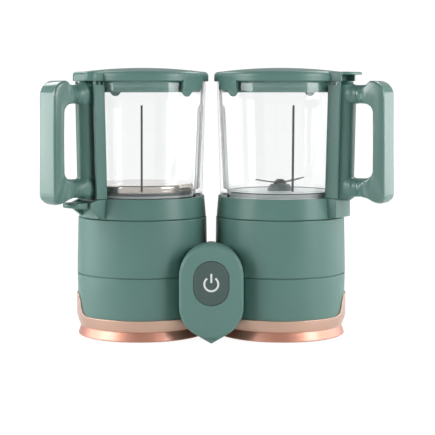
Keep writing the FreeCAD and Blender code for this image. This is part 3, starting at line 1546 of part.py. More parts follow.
def handle_screws(side):
    """Two screws from behind the bracket through its stubs into the grip's arms."""
    body = new_body(side + "_screw_pattern")
    start, head = handle_screw_start, d.handle_screw_radius
    revolve(body, [
        (0.0, start), (d.handle_screw_head, start), (d.handle_screw_head, start + head),
        (d.handle_screw_radius, start + head), (d.handle_screw_radius, handle_screw_end),
        (0.0, handle_screw_end),
    ])
    x, turn = SIDES[side]
    stand = Placement(Vector(x.value, 0, 0), Rotation(Vector(0, 0, 1), turn.value))
    lay = Rotation(Vector(0, 1, 0), 90)
    arms = (d.upper_arm.value, d.lower_arm.value)
    return copies_of(side + "_handle_screws", body,
                     [stand.multiply(Placement(Vector(0, 0, height), lay)) for height in arms])


# Lids


def lid(side):
    """Domed lid with a hollow plug, a tongue over the handle and two lugs outside the glass."""
    body = new_body(side + "_lid")
    side_top = lid_bottom + d.lid_height
    crown = side_top + d.lid_dome
    edge = d.lid_edge
    inside = plug_radius - d.plug_wall
    rise = d.lid_dome
    shoulder = lid_radius - edge
    dome = (shoulder * shoulder + rise * rise) / (rise * 2)
    plug_bottom = d.glass_top - d.plug_depth
    ceiling = side_top - d.lid_wall
    revolve(body, [
        (inside, plug_bottom), (plug_radius, plug_bottom), (plug_radius, lid_bottom),
        (lid_radius, lid_bottom), (lid_radius, side_top - edge, edge, LEFT_RUN),
        (shoulder, side_top, dome, LEFT_RUN), (0.0, crown), (0.0, ceiling), (inside, ceiling),
    ])
    half, corner = d.tongue_half, d.tongue_round
    end, top = bracket_reach(bracket_top) + d.tongue_overhang, lid_bottom + d.tongue_height
    start = leg(lid_radius, half) - edge * 2
    tongue = new_sketch(body, "XZ")
    outline(tongue, [(start, lid_bottom), (end, lid_bottom), (end, top - edge, edge, LEFT_RUN),
                     (end - edge, top), (start, top)])
    pad(body, tongue, half * 2, symmetric=True)
    trim = new_sketch(body, "XY", lift=lid_bottom)
    outline(trim, [
        (end - corner, half, corner, RIGHT_RUN), (end, half - corner), (end + corner, half - corner),
        (end + corner, half + corner), (end - corner, half + corner),
    ])
    mirror(body, pocket(body, trim, backwards=True), "XZ")
    inner, outer = d.glass_top_radius + d.fit * 2, lid_radius + d.lug_proud
    low, high, radius = lid_bottom - d.lug_depth, lid_bottom + d.fit * 4, d.nub_radius
    for hand in (1, -1):
        revolve(body, [(inner, low), (outer, low), (outer, high), (inner, high)],
                turn=d.lug_turn * hand - d.lug_shift, sweep=d.lug_sweep)
        nub = new_sketch(body, "YZ", lift=inner + d.fit * 2, turn=d.nub_turn * hand - d.lug_shift)
        outline(nub, [
            (-radius, low + radius / 4), (-radius, low, radius, LEFT_RUN),
            (0.0, low - radius, radius, LEFT_RUN), (radius, low), (radius, low + radius / 4),
        ])
        pad(body, nub, (outer - inner) / 2)
    place(body, *SIDES[side])
    return body


def lid_seal(side):
    """Silicone ring round the lid's plug."""
    body = new_body(side + "_lid_seal")
    bottom = d.glass_top - d.plug_depth + d.fit
    top = bottom + d.lid_seal_height
    bore = plug_radius + d.running_fit
    outer = glass_inside(bottom) - d.fit
    revolve(body, [(bore, bottom), (outer - d.seat, bottom), (outer, (bottom + top) / 2),
                   (outer - d.seat, top), (bore, top)])
    place(body, *SIDES[side])
    return body


pieces = []
for side in SIDES:
    pieces += [make(side) for make in (
        foot_ring, lower_band, upper_housing, base_plate, glass, collar, jug_seal,
        handle_bracket, handle_grip, handle_screws, lid, lid_seal)]
pieces += [make() for make in (
    left_deck, right_deck, rubber_feet, base_screws, bridge, bridge_foot, pod_housing, pod_face,
    power_button, control_board, button_switch, base_connector, power_board, motor_cradle, motor,
    motor_shaft, cooling_fan, shaft_bearing, drive_coupling, cord_gland, lever_pin, release_lever,
    steam_dish, heating_element, jug_connector, blade_base, blade_bearing, driven_coupling,
    blade_shaft, blade_nut)]
lower_seat = d.hub_top + d.fit
pieces.append(blade("lower_blades", lower_seat, d.lower_blade_reach, -d.lower_blade_drop, -60.0))
pieces.append(blade("upper_blades", lower_seat + d.blade_thickness, d.upper_blade_reach,
                    d.upper_blade_rise, 60.0))

doc.recompute()
failed = [thing.Label for thing in doc.Objects if {"Invalid", "Error"} & set(thing.State)]
failed += [piece.Label for piece in pieces if piece.Shape.isNull() or not piece.Shape.isValid()]
bodies = [piece for piece in pieces if piece.TypeId == "PartDesign::Body"]
failed += [body.Label for body in bodies if len(body.Shape.Solids) != 1]
if failed:
    raise RuntimeError("failed: " + ", ".join(failed))
os.makedirs("parts", exist_ok=True)
for piece in pieces:
    piece.Shape.exportStep(f"parts/{piece.Label}.step")
    print(f"{piece.Label}: {len(piece.Shape.Solids)} solid(s), {piece.Shape.Volume / 1000:.2f} cm3")
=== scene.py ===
# %% [markdown]
# # A baby food maker with two bases
# Two round bases stand side by side, joined by a bridge with a drop-shaped control pod. A steam jug sits on
# the left base and a blender jug on the right one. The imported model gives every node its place; this lesson
# gives the nodes their finish, and replaces the ones that show with finer surfaces.

# %% Load the frame
import json
import math

import bmesh
import bpy
import numpy as np
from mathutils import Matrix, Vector


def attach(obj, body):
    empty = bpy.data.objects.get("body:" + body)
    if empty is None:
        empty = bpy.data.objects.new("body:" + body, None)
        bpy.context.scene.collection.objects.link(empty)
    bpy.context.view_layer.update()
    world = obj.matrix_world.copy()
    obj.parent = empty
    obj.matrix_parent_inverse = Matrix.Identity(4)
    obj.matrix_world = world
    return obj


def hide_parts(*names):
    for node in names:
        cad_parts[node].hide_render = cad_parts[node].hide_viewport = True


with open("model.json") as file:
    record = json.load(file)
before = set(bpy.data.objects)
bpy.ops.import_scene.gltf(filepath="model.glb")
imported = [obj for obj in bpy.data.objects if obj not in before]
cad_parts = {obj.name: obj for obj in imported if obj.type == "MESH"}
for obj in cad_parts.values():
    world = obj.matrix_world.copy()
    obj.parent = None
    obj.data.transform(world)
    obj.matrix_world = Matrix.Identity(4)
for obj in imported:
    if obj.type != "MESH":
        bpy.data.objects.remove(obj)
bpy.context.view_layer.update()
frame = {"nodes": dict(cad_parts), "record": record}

# %% [markdown]
# ## From sizes in millimetres to a mesh
# Every surface below is a grid of points worked out with whole numpy arrays in millimetres, in a local frame
# that is easy to think in: the jug's own axis with its handle along +X, or the base's axis with its outer
# side along +X. `to_world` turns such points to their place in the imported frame, in metres. A piece could
# instead be modelled at the origin and moved, but a finished piece keeps its place in its mesh, as the nodes
# do.

# %% Places of the local frames
MM = 0.001
AXIS = 68.3
PLACES = {
    "middle": (0.0, 0.0),
    "left_base": (-AXIS, 180.0), "right_base": (AXIS, 0.0),
    "left_jug": (-AXIS, 224.0), "right_jug": (AXIS, 328.0),
}
SIDES = ("left", "right")


def to_world(points, place):
    """Turn points about Z by the place's angle, shift them along X, and give metres."""
    x, turn = PLACES[place]
    c, s = math.cos(math.radians(turn)), math.sin(math.radians(turn))
    u, v, w = np.moveaxis(np.asarray(points, float).reshape(-1, 3), 1, 0)
    return np.stack([x + c * u - s * v, s * u + c * v, w], 1) * MM


print("places:", PLACES)

# %% [markdown]
# ## Grids, shells and pieces
# A shell is a grid of points with a quad between each point and its neighbours. Blender's own primitives
# would have to be bent into shape afterwards, while a grid has its shape from the start. `piece` joins shells
# into one object, merges points that coincide, turns the normals outward, and says which body it rides on.

# %% Grids and shells


def grid_faces(rows, cols, wrap_rows=False):
    """Quads of a grid of points: each joins point (i, j) to its neighbours at i + 1 and j + 1.

    The last column always joins the first one, and the last row does so on request.
    """
    i, j = np.meshgrid(np.arange(rows if wrap_rows else rows - 1), np.arange(cols), indexing="ij")
    below, beside = (i + 1) % rows, (j + 1) % cols
    quads = [i * cols + j, i * cols + beside, below * cols + beside, below * cols + j]
    return np.stack(quads, -1).reshape(-1, 4).tolist()


def shell(grid, wrap_rows=False, caps=False):
    """A grid of points as a surface. With caps, the first and last row are each closed by one face."""
    rows, cols = grid.shape[:2]
    faces = grid_faces(rows, cols, wrap_rows)
    if caps:
        faces += [list(range(cols))[::-1], list(range((rows - 1) * cols, rows * cols))]
    return grid.reshape(-1, 3), faces


print("quads of 4 rows round a ring of 6 points:", len(grid_faces(4, 6)))

# %% Shells to a piece
MERGE, SLIVER = 2e-6, 1e-6


def piece(name, shells, place, body, material, nodes=(), sharp=38.0, bevel=0.0):
    """One object made of closed shells: doubles merged, normals outward, smooth up to the sharp angle."""
    points, faces, first = [], [], 0
    for spots, polygons in shells:
        points.append(to_world(spots, place))
        faces += [[first + corner for corner in polygon] for polygon in polygons]
        first += len(spots)
    mesh = bpy.data.meshes.new(name)
    mesh.from_pydata(np.concatenate(points).tolist(), [], faces)
    work = bmesh.new()
    work.from_mesh(mesh)
    bmesh.ops.remove_doubles(work, verts=work.verts, dist=MERGE)
    bmesh.ops.dissolve_degenerate(work, edges=work.edges, dist=SLIVER)
    bmesh.ops.recalc_face_normals(work, faces=work.faces)
    work.to_mesh(mesh)
    work.free()
    mesh.shade_smooth()
    mesh.set_sharp_from_angle(angle=math.radians(sharp))
    mesh.materials.append(material)
    thing = bpy.data.objects.new(name, mesh)
    bpy.context.scene.collection.objects.link(thing)
    if bevel:
        edge = thing.modifiers.new("edge", "BEVEL")
        edge.width, edge.segments, edge.angle_limit = bevel * MM, 3, math.radians(30)
        edge.harden_normals = True
    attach(thing, body)
    if nodes:
        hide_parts(*nodes)
    print(f"{name}: {len(mesh.polygons)} faces")


print("points merge within", MERGE, "m")

# %% [markdown]
# ## Profiles with rounded corners
# Moulded pieces have no knife edges. A Bevel modifier could round them, but it can't give each corner its own
# radius. `rounded` swaps each corner of a polygon for an arc, and leaves a close point on both sides of the
# arc, so that smooth shading bends only at the corner and not over the whole wall.

# %% Rounded outlines


def rounded(corners, radii, steps=6, hold=0.35, closed=True):
    """Polygon with arcs at its corners: an arc of radius r starts r / tan(half angle) before the corner."""
    corners = np.asarray(corners, float)
    count = len(corners)
    radii = np.broadcast_to(np.asarray(radii, float), count)
    path = []
    for n in range(count):
        spot = corners[n]
        if not closed and n in (0, count - 1):
            path.append(spot[None])
            continue
        before, after = corners[n - 1] - spot, corners[(n + 1) % count] - spot
        reach = 0.48 * min(np.linalg.norm(before), np.linalg.norm(after))
        before, after = before / np.linalg.norm(before), after / np.linalg.norm(after)
        half = math.acos(float(np.clip(before @ after, -1, 1))) / 2
        if radii[n] <= 0 or half > math.pi / 2 - 0.02:
            path.append(spot[None])
            continue
        run = min(radii[n] / math.tan(half), reach)
        radius = run * math.tan(half)
        middle = (before + after) / np.linalg.norm(before + after)
        centre = spot + middle * radius / math.sin(half)
        start, end = spot + before * run - centre, spot + after * run - centre
        a, b = math.atan2(start[1], start[0]), math.atan2(end[1], end[0])
        sweep = (b - a + math.pi) % (2 * math.pi) - math.pi
        angles = a + sweep * np.linspace(0, 1, steps + 1)
        bend = centre + radius * np.stack([np.cos(angles), np.sin(angles)], 1)
        keep = min(hold, reach - run)
        if keep > 0.02:
            bend = np.concatenate([[spot + before * (run + keep)], bend, [spot + after * (run + keep)]])
        path.append(bend)
    return np.concatenate(path)


def arc(centre, radius, start, end, steps):
    """Points on a circle from one angle to another, in degrees."""
    angles = np.radians(np.linspace(start, end, steps))
    return np.asarray(centre, float) + radius * np.stack([np.cos(angles), np.sin(angles)], 1)


print("points of a square with rounded corners:", len(rounded([(0, 0), (9, 0), (9, 9), (0, 9)], 1)))

# %% [markdown]
# ## Turning and stacking
# Round pieces are a profile carried round an axis, and flat ones are an outline repeated at several levels.
# Spin and Extrude do this by hand in Edit Mode. As functions on whole arrays, they also give every rim its
# own rounding, because each level may be drawn in along the outline's normals.

# %% Turned and layered shells


def turned(profile, steps=160, start=0.0, sweep=360.0, closed=True):
    """Carry a (radius, height) profile round Z: x = r cos a, y = r sin a, z = height."""
    full = sweep >= 360.0
    angles = np.radians(start + sweep * np.linspace(0, 1, steps + (0 if full else 1), endpoint=not full))
    radius, height = profile[:, 0][:, None], profile[:, 1][:, None]
    grid = np.stack([radius * np.cos(angles), radius * np.sin(angles), height + 0 * angles], -1)
    if full:
        return shell(grid, wrap_rows=closed)
    return shell(grid.transpose(1, 0, 2), caps=True)


def layers(outline, levels, plane="XY"):
    """Stack copies of a flat outline: each level is (height, inset), the inset measured along the normals.

    plane XY stacks upwards along Z, and plane XZ stacks along Y, with the outline in X and Z.
    """
    ahead, behind = np.roll(outline, -1, 0) - outline, outline - np.roll(outline, 1, 0)
    edges = [run / np.maximum(np.linalg.norm(run, axis=1, keepdims=True), 1e-9) for run in (ahead, behind)]
    along = edges[0] + edges[1]
    along /= np.maximum(np.linalg.norm(along, axis=1, keepdims=True), 1e-9)
    area = np.sum(outline[:, 0] * np.roll(outline[:, 1], -1) - np.roll(outline[:, 0], -1) * outline[:, 1])
    inward = np.stack([-along[:, 1], along[:, 0]], 1) * np.sign(area)
    stretch = 1 / np.maximum(np.sum(along * edges[0], axis=1), 0.3)
    rings = []
    for height, inset in levels:
        flat = outline + inward * (inset * stretch)[:, None]
        lift = np.full(len(flat), height)
        order = (flat[:, 0], flat[:, 1], lift) if plane == "XY" else (flat[:, 0], lift, flat[:, 1])
        rings.append(np.stack(order, 1))
    return shell(np.stack(rings), caps=True)


def edge_levels(low, high, radius, steps=4):
    """Levels of a slab whose two rims are rounded: inset r - r sin a at a depth of r - r cos a."""
    turn = np.radians(np.linspace(0, 90, steps + 1))
    depth, inset = radius * (1 - np.cos(turn)), radius * (1 - np.sin(turn))
    lower = [(low + d, i) for d, i in zip(depth, inset)]
    upper = [(high - d, i) for d, i in zip(depth[::-1], inset[::-1])]
    return lower + upper


print("levels of a slab with round rims:", len(edge_levels(0, 5, 1)))

# %% [markdown]
# ## Finishes
# Each finish is one Principled shader fed by noise on Object coordinates: a fine grain for the moulded
# texture, and a broad, faint mottling that keeps large walls from looking printed. Flat colours would be
# quicker, but they look like paint. What is the same all over a surface is set on the shader's own socket, so
# that it survives the export.

# %% Colour and range helpers


def tint(red, green, blue):
    """Linear colour of a display colour written as 0 to 255."""
    share = np.array([red, green, blue]) / 255.0
    linear = np.where(share <= 0.04045, share / 12.92, ((share + 0.055) / 1.055) ** 2.4)
    return (*linear.tolist(), 1.0)


def ranged(tree, source, start, end, kind="LINEAR"):
    """Map Range node that carries the interval start onto the interval end; gives its output socket."""
    node = tree.nodes.new("ShaderNodeMapRange")
    node.interpolation_type = kind
    node.inputs["From Min"].default_value, node.inputs["From Max"].default_value = start
    node.inputs["To Min"].default_value, node.inputs["To Max"].default_value = end
    tree.links.new(source, node.inputs["Value"])
    return node.outputs["Result"]


print("a mid display grey in linear light:", round(tint(128, 128, 128)[0], 3))

# %% Material maker
CLOUD_SCALE = 38.0


def finish(name, colour, roughness, grain=0.35, relief=0.02, mottle=0.06, gloss_shift=0.06, **sockets):
    """Moulded or metal finish: grain is the bump's feature size in mm, mottle the share of colour change."""
    material = bpy.data.materials.new(name)
    material.use_nodes = True
    tree = material.node_tree
    nodes, links = tree.nodes, tree.links
    shader = nodes["Principled BSDF"]
    where = nodes.new("ShaderNodeTexCoord")
    cloud = nodes.new("ShaderNodeTexNoise")
    cloud.inputs["Scale"].default_value = CLOUD_SCALE
    cloud.inputs["Detail"].default_value = 4.0
    links.new(where.outputs["Object"], cloud.inputs["Vector"])
    shade = nodes.new("ShaderNodeMix")
    shade.data_type = "RGBA"
    low = [c * (1 - mottle) for c in colour[:3]]
    high = [min(c * (1 + mottle), 1.0) for c in colour[:3]]
    shade.inputs["A"].default_value = (*low, 1)
    shade.inputs["B"].default_value = (*high, 1)
    links.new(cloud.outputs["Fac"], shade.inputs["Factor"])
    links.new(shade.outputs["Result"], shader.inputs["Base Color"])
    speckle = nodes.new("ShaderNodeTexNoise")
    speckle.inputs["Scale"].default_value = 1 / (grain * MM)
    speckle.inputs["Detail"].default_value = 2.0
    links.new(where.outputs["Object"], speckle.inputs["Vector"])
    shine = (max(roughness - gloss_shift, 0.0), roughness + gloss_shift)
    links.new(ranged(tree, cloud.outputs["Fac"], (0, 1), shine), shader.inputs["Roughness"])
    bump = nodes.new("ShaderNodeBump")
    bump.inputs["Strength"].default_value = 0.5
    bump.inputs["Distance"].default_value = relief * MM
    links.new(speckle.outputs["Fac"], bump.inputs["Height"])
    links.new(bump.outputs["Normal"], shader.inputs["Normal"])
    for socket, value in sockets.items():
        shader.inputs[socket.replace("_", " ")].default_value = value
    return material


print("the mottling changes over about", round(1 / (CLOUD_SCALE * MM)), "mm")

# %% [markdown]
# ## One finish for each real material
# The green is moulded plastic in three grades: satin on the housings, duller on the pod's face and glossy on
# the grips. The rest is other plastics, steel, rubber, silicone and the bare metals inside. Each piece could
# have a material of its own, but then two pieces of one mould would drift apart, so pieces share finishes.

# %% The finishes of this object
SAGE = finish("sage_satin_plastic", tint(96, 134, 126), 0.34)
SAGE_FACE = finish("sage_pod_face", tint(102, 140, 132), 0.42)
SAGE_GRIP = finish("sage_gloss_grip", tint(98, 134, 126), 0.2, gloss_shift=0.03, Coat_Weight=0.35,
                   Coat_Roughness=0.15)
BUTTON = finish("slate_green_button", tint(76, 96, 92), 0.5)
MARK = finish("pale_printed_mark", tint(236, 240, 238), 0.5, mottle=0.02)
STEEL = finish("polished_steel", tint(188, 180, 173), 0.14, grain=0.8, relief=0.004, Metallic=1.0)
# Blade steel is painted shade: a dark grey, half metal, for the dim look of the steel inside the jug.
BLADE_PAINTED_SHADE = finish("blade_steel_painted_shade", tint(74, 77, 77), 0.4, grain=0.6, relief=0.01, Metallic=0.6)
ZINC = finish("zinc_plate", tint(170, 172, 176), 0.35, Metallic=1.0)
MOTOR = finish("bare_motor_can", tint(150, 152, 155), 0.4, Metallic=1.0)
BRONZE = finish("sintered_bronze", tint(150, 112, 66), 0.5, grain=0.2, relief=0.03, Metallic=1.0)
DARK = finish("charcoal_plastic", tint(44, 47, 47), 0.5)
HUB = finish("hub_grey_green", tint(96, 112, 108), 0.4)
PALE = finish("pale_jug_floor", tint(216, 219, 219), 0.3)
SEAL = finish("sage_silicone", tint(84, 118, 110), 0.5, Subsurface_Weight=0.1)
RUBBER = finish("black_rubber", tint(30, 30, 30), 0.8, grain=0.6, relief=0.05)
# Bead colours are painted light: a grey painted shade and a pale painted highlight at the glass's foot.
BEAD_PAINTED_SHADE = finish("grey_bead_painted_shade", tint(74, 80, 79), 0.35)
BEAD_PAINTED_HIGHLIGHT = finish("pale_bead_painted_highlight", tint(168, 174, 172), 0.4)
SILICONE = finish("pale_silicone", tint(205, 208, 206), 0.6, Subsurface_Weight=0.1)
BOARD = finish("board_green", tint(38, 92, 58), 0.4)
print("materials, with those that came with the frame:", len(bpy.data.materials))

# %% [markdown]
# ## Copper
# The foot rings are satin copper under a clear lacquer, deeper in colour on the lower tier than on the upper
# one. Two materials would split the mesh at the crease, so one material mixes both finishes by height.

# %% Lacquered copper
CREASE = (0.0096, 0.0104)


def copper_plate():
    """Lacquered copper: the height sets the mix between the lower tier and the paler upper one."""
    material = finish("rose_copper", tint(203, 145, 124), 0.52, grain=1.2, relief=0.004, mottle=0.04,
                      Metallic=1.0, Coat_Weight=1.0, Coat_Roughness=0.3)
    tree = material.node_tree
    nodes, links = tree.nodes, tree.links
    shader = nodes["Principled BSDF"]
    where, split = nodes.new("ShaderNodeTexCoord"), nodes.new("ShaderNodeSeparateXYZ")
    links.new(where.outputs["Object"], split.inputs["Vector"])
    rise = ranged(tree, split.outputs["Z"], CREASE, (0, 1))
    for socket, kind, upper in (("Base Color", "RGBA", tint(216, 178, 158)), ("Roughness", "FLOAT", 0.42)):
        mix = nodes.new("ShaderNodeMix")
        mix.data_type = kind
        links.new(shader.inputs[socket].links[0].from_socket, mix.inputs["A"])
        mix.inputs["B"].default_value = upper
        links.new(rise, mix.inputs["Factor"])
        links.new(mix.outputs["Result"], shader.inputs[socket])
    return material


COPPER = copper_plate()
print("copper changes between the heights", CREASE, "m")

# %% [markdown]
# ## Glass
# The jugs are thick clear glass. A thick tapered wall with the index of real glass throws broad grey bands
# across the dish and the blades, so the body gets a low index that hardly bends light, and a clear coat with
# an index of its own gives the wall its gloss. The ribs inside the wall are opaque and carry painted light in
# place of the glass's bending: a dark grey painted shade and a pale grey painted highlight.

# %% Glass and its ribs
GLASS = finish("clear_glass", tint(249, 250, 250), 0.002, grain=30.0, relief=0.0005, mottle=0.0,
               gloss_shift=0.002, Transmission_Weight=1.0, IOR=1.05, Coat_Weight=1.0, Coat_IOR=1.4,
               Coat_Roughness=0.01)
# Opaque rib finishes with painted light: dark grey painted shade and pale grey painted highlight.
RIB_PAINTED_DARK = finish("rib_painted_shade", tint(58, 60, 62), 0.2, mottle=0.15)
RIB_PAINTED_PALE = finish("side_rib_painted_highlight", tint(200, 203, 205), 0.2, mottle=0.1)
print("materials with copper and glass:", len(bpy.data.materials))

# %% [markdown]
# ## The finish of every node
# Nodes that stay as they are get their finish here. Most of them are hidden inside the housings, and some
# show when a jug or a lid is lifted off. Each could be dressed by hand, but the record already says what it
# is made of, so one table from slot to finish dresses them all.

# %% Dress the nodes
FINISH_OF_SLOT = {
    "green_shell": SAGE, "face_green": SAGE_FACE, "grip_green": SAGE_GRIP, "button_grey": BUTTON,
    "copper": COPPER, "glass": GLASS, "dark_plastic": DARK, "rubber": RUBBER, "silicone": SILICONE,
    "steel": STEEL, "zinc_steel": ZINC, "motor_can": MOTOR, "bronze": BRONZE, "board": BOARD,
}
for entry in frame["record"]["subparts"]:
    node = frame["nodes"][entry["node"]]
    node.data.materials.clear()
    lid_ring = entry["node"].endswith("_lid_seal")
    node.data.materials.append(SEAL if lid_ring else FINISH_OF_SLOT[entry["material_slot"]])

# %% [markdown]
# ## Foot rings
# The copper ring has two tiers with a crease between them, and a fin that climbs the outer side of the base
# in an S-shaped curve. A plain revolved ring can't have the fin, so the ring is a grid over the angle and the
# profile in which the height of the top edge is a function of the angle.

# %% Height of the fin
RING_RADIUS, RING_TOP, FIN_TOP, FIN_ROUND = 64.9, 21.4, 41.0, 13.0
CROWN_CENTRE, HOLLOW_CENTRE = (13.8, 28.19), (39.06, 34.36)
FLAT_END, CROWN_END, FIN_END = 16, 26.5, 38.5
BAND_FOOT, BAND_HEAD = (63.3, 19.4), (64.2, 60.85)


def band_radius(height):
    """Outside of the lower band at a height: a straight run from its foot to its head."""
    share = (height - BAND_FOOT[1]) / (BAND_HEAD[1] - BAND_FOOT[1])
    return BAND_FOOT[0] + (BAND_HEAD[0] - BAND_FOOT[0]) * share


def fin_height(angle):
    """Top edge of the ring: a flat top, then a convex and a hollow arc of one radius, then the plain ring."""
    across = np.abs(RING_RADIUS * np.sin(angle))
    past_crown, past_hollow = across - CROWN_CENTRE[0], np.minimum(across - HOLLOW_CENTRE[0], 0)
    crown = CROWN_CENTRE[1] + np.sqrt(np.maximum(FIN_ROUND ** 2 - past_crown ** 2, 0))
    hollow = HOLLOW_CENTRE[1] - np.sqrt(np.maximum(FIN_ROUND ** 2 - past_hollow ** 2, 0))
    rise = np.where(across < FLAT_END, FIN_TOP, np.where(across < CROWN_END, crown, hollow))
    return np.where((np.cos(angle) > 0) & (across < FIN_END), np.maximum(rise, RING_TOP), RING_TOP)


print("the fin stands", round(FIN_TOP - RING_TOP, 2), "mm over the ring")

# %% Foot ring surface
RING_EDGE, RING_GAP = 0.45, 0.15


def foot_ring():
    """Profile rows are fixed up to the upper tier, and the last ones follow the fin's height."""
    angles = np.radians(np.concatenate([np.arange(-45, 45, 0.5), np.arange(45, 315, 2.0)]))
    foot = rounded([(58.6, 5.7), (58.6, 1.0), (63.3, 1.0), (63.2, 2.2)], [0, 0.3, 0.7, 0], closed=False)
    flare = np.linspace((63.16, 2.32), (60.69, 9.63), 6)
    tier = np.array([(60.65, 9.75), (60.9, 10.05), (61.5, 10.3), (62.4, 12.4), (63.3, 14.9), (64.1, 17.6),
                     (64.6, 19.6), (64.85, 20.7)])
    top = fin_height(angles)
    ones = np.ones_like(angles)
    rows = [(r * ones, z * ones) for r, z in np.concatenate([foot, flare, tier])]
    for share in (0.0, 0.3, 0.7, 0.95):
        rows.append((RING_RADIUS * ones, RING_TOP - 0.5 + (top - RING_TOP) * share))
    for turn in np.radians((0, 30, 60, 90)):
        inset, depth = RING_EDGE * (1 - math.cos(turn)), RING_EDGE * (1 - math.sin(turn))
        rows.append((RING_RADIUS - inset * ones, top - depth))
    rows.append((band_radius(top) + RING_GAP, top))
    seat = band_radius(BAND_FOOT[1]) + RING_GAP
    rows += [(r * ones, z * ones) for r, z in ((seat, BAND_FOOT[1]), (56.0, BAND_FOOT[1]), (56.0, 5.7))]
    radius, height = np.array([row[0] for row in rows]), np.array([row[1] for row in rows])
    grid = np.stack([radius * np.cos(angles), radius * np.sin(angles), height], -1)
    return shell(grid, wrap_rows=True)


for side in SIDES:
    piece(side + "_foot_ring_copper", [foot_ring()], side + "_base", "base", COPPER,
          [side + "_foot_ring"])

# %% [markdown]
# ## Base housings
# Each base is a lower band and an upper housing with an open seam between them. A dark line in the material
# could stand for the seam, but it would have no depth from the side. Both pieces are turned profiles, and the
# seam is a real gap with the band's inner lip behind it.

# %% Bands and housings
BAND = rounded([(60.6, 20.0), BAND_FOOT, BAND_HEAD, (62.9, 60.85), (62.9, 61.55), (61.6, 61.55)],
               [0, 0, 0.8, 0, 0, 0])
HOUSING = rounded([(59.0, 61.6), (64.4, 61.55), (63.5, 115.9), (60.9, 115.9), (60.9, 112.0), (59.0, 112.0)],
                  [0, 0.9, 1.0, 0.4, 0, 0])
for side in SIDES:
    piece(side + "_band_wall", [turned(BAND)], side + "_base", "base", SAGE,
          [side + "_lower_band"])
    piece(side + "_housing_wall", [turned(HOUSING)], side + "_base", "base", SAGE,
          [side + "_upper_housing"])

# %% [markdown]
# ## Control pod
# The pod is a drop seen from the front. Its housing nests between the bases, so the back edge of each side
# follows the hollow scooped round the base. A Boolean cut could make that hollow, but it leaves long thin
# faces, so here the depth of every back point is worked out from the base's circle.

# %% Drop-shaped housing
POD_RADIUS, POD_HIGH, POD_LOW, POD_TIP = 30.6, 64.2, 35.8, 0.4
SCOOP_RADIUS, POD_BACK, POD_MIDDLE = 65.4, -46.0, np.array([0, 50.0])


def upright(flat, depth):
    """Outline in X and Z, set at a depth along Y: one depth for all its points, or one for each."""
    return np.stack([flat[:, 0], np.broadcast_to(depth, len(flat)), flat[:, 1]], 1)


def drop(inset=0.0):
    """Two rounds of radius r on one upright line, the lower one running straight into a tip.

    For a tip d below the centre of the lower round, the straight run touches the round r r / d below it.
    """
    radius = POD_RADIUS - inset
    reach = POD_LOW - POD_TIP - inset * 1.17
    touch = math.degrees(math.acos(radius / reach))
    right = arc((0, POD_LOW), radius, touch - 90, 0, 16)
    top = arc((0, POD_HIGH), radius, 0, 180, 49)
    left = arc((0, POD_LOW), radius, 180, 270 - touch, 16)
    tip = rounded([left[-1], (0, POD_LOW - reach), right[0]], [0, 1.2, 0], closed=False)
    return np.concatenate([right, top, left[:-1], tip[:-1]])


def pod_housing():
    """Rings of the drop from a round front rim to the scoop, closed behind by rings shrunk to the middle."""
    rim = ((-66.5, 1.1), (-66.3, 0.55), (-65.9, 0.16), (-65.4, 0.0))
    rings = [upright(drop(inset), depth) for depth, inset in rim]
    for share in (1.0, 0.85, 0.65, 0.4, 0.15):
        flat = drop() * share + POD_MIDDLE * (1 - share)
        gap = SCOOP_RADIUS ** 2 - (AXIS - np.abs(flat[:, 0])) ** 2
        rings.append(upright(flat, np.minimum(-np.sqrt(np.maximum(gap, 0)), POD_BACK)))
    return shell(np.stack(rings), caps=True)


piece("pod_drop", [pod_housing()], "middle", "base", SAGE_FACE, ["pod_housing"])

# %% [markdown]
# ## Face plate and button
# A raised plate with a light bevel covers the front of the drop, and an oval button sits in its opening. A
# Bevel modifier rounds all rims alike. The plate's rim is a flat bevel with soft edges and the button is
# dished, so each is an outline repeated over its own list of depths and insets.

# %% Face plate
BUTTON_LOW, BUTTON_HIGH = 58 - 4.45, 58 + 4.45
FACE_LEVELS = [(-66.5, 0.0), (-68.3, 0.0), (-68.6, 0.08), (-69.7, 1.2), (-69.95, 1.5), (-70.0, 1.9)]


def stadium(radius, low, high, steps=33):
    """Two half circles about (0, low) and (0, high), joined by straight sides."""
    return np.concatenate([arc((0, high), radius, 0, 180, steps), arc((0, low), radius, 180, 360, steps)])


def pod_face():
    """Bevelled stadium plate with an oval opening: outer rings forward, then inner rings back."""
    outer = stadium(POD_RADIUS - 0.5, POD_LOW, POD_HIGH)
    opening = stadium(16.9, BUTTON_LOW, BUTTON_HIGH)
    spots, _ = layers(outer, FACE_LEVELS, "XZ")
    rings = spots.reshape(len(FACE_LEVELS), -1, 3)
    front = [upright(opening, depth) for depth in (-70.0, -69.7, -66.5)]
    front[0][:, 0] *= 1.012
    return shell(np.concatenate([rings, np.stack(front)]), wrap_rows=True)


piece("pod_face_plate", [pod_face()], "middle", "base", SAGE_FACE, ["pod_face"])

# %% Button
OVAL = stadium(16.5, BUTTON_LOW, BUTTON_HIGH)
CAP_LEVELS = [(-64.65, 0.0), (-69.8, 0.0), (-70.15, 0.12), (-70.4, 0.5), (-70.4, 1.6), (-70.1, 3.2),
              (-69.9, 6.0), (-69.8, 10.0), (-69.75, 15.0)]
FLANGE_LEVELS = [(-64.65, -1.6), (-66.2, -1.6)]
piece("button_cap", [layers(OVAL, CAP_LEVELS, "XZ"), layers(OVAL, FLANGE_LEVELS, "XZ")], "middle", "button",
      BUTTON, ["power_button"])

# %% [markdown]
# ## Power sign
# The sign printed on the button is an open ring and a stroke. A mask in the button's material could draw it,
# but a strip a few hundredths of a millimetre thick, laid on the dished cap, stays sharp from close by and
# has a finish of its own.

# %% Sign on the button
PRINT_BACK, PRINT_FRONT, PRINT_WIDTH = -69.95, -70.01, 1.9


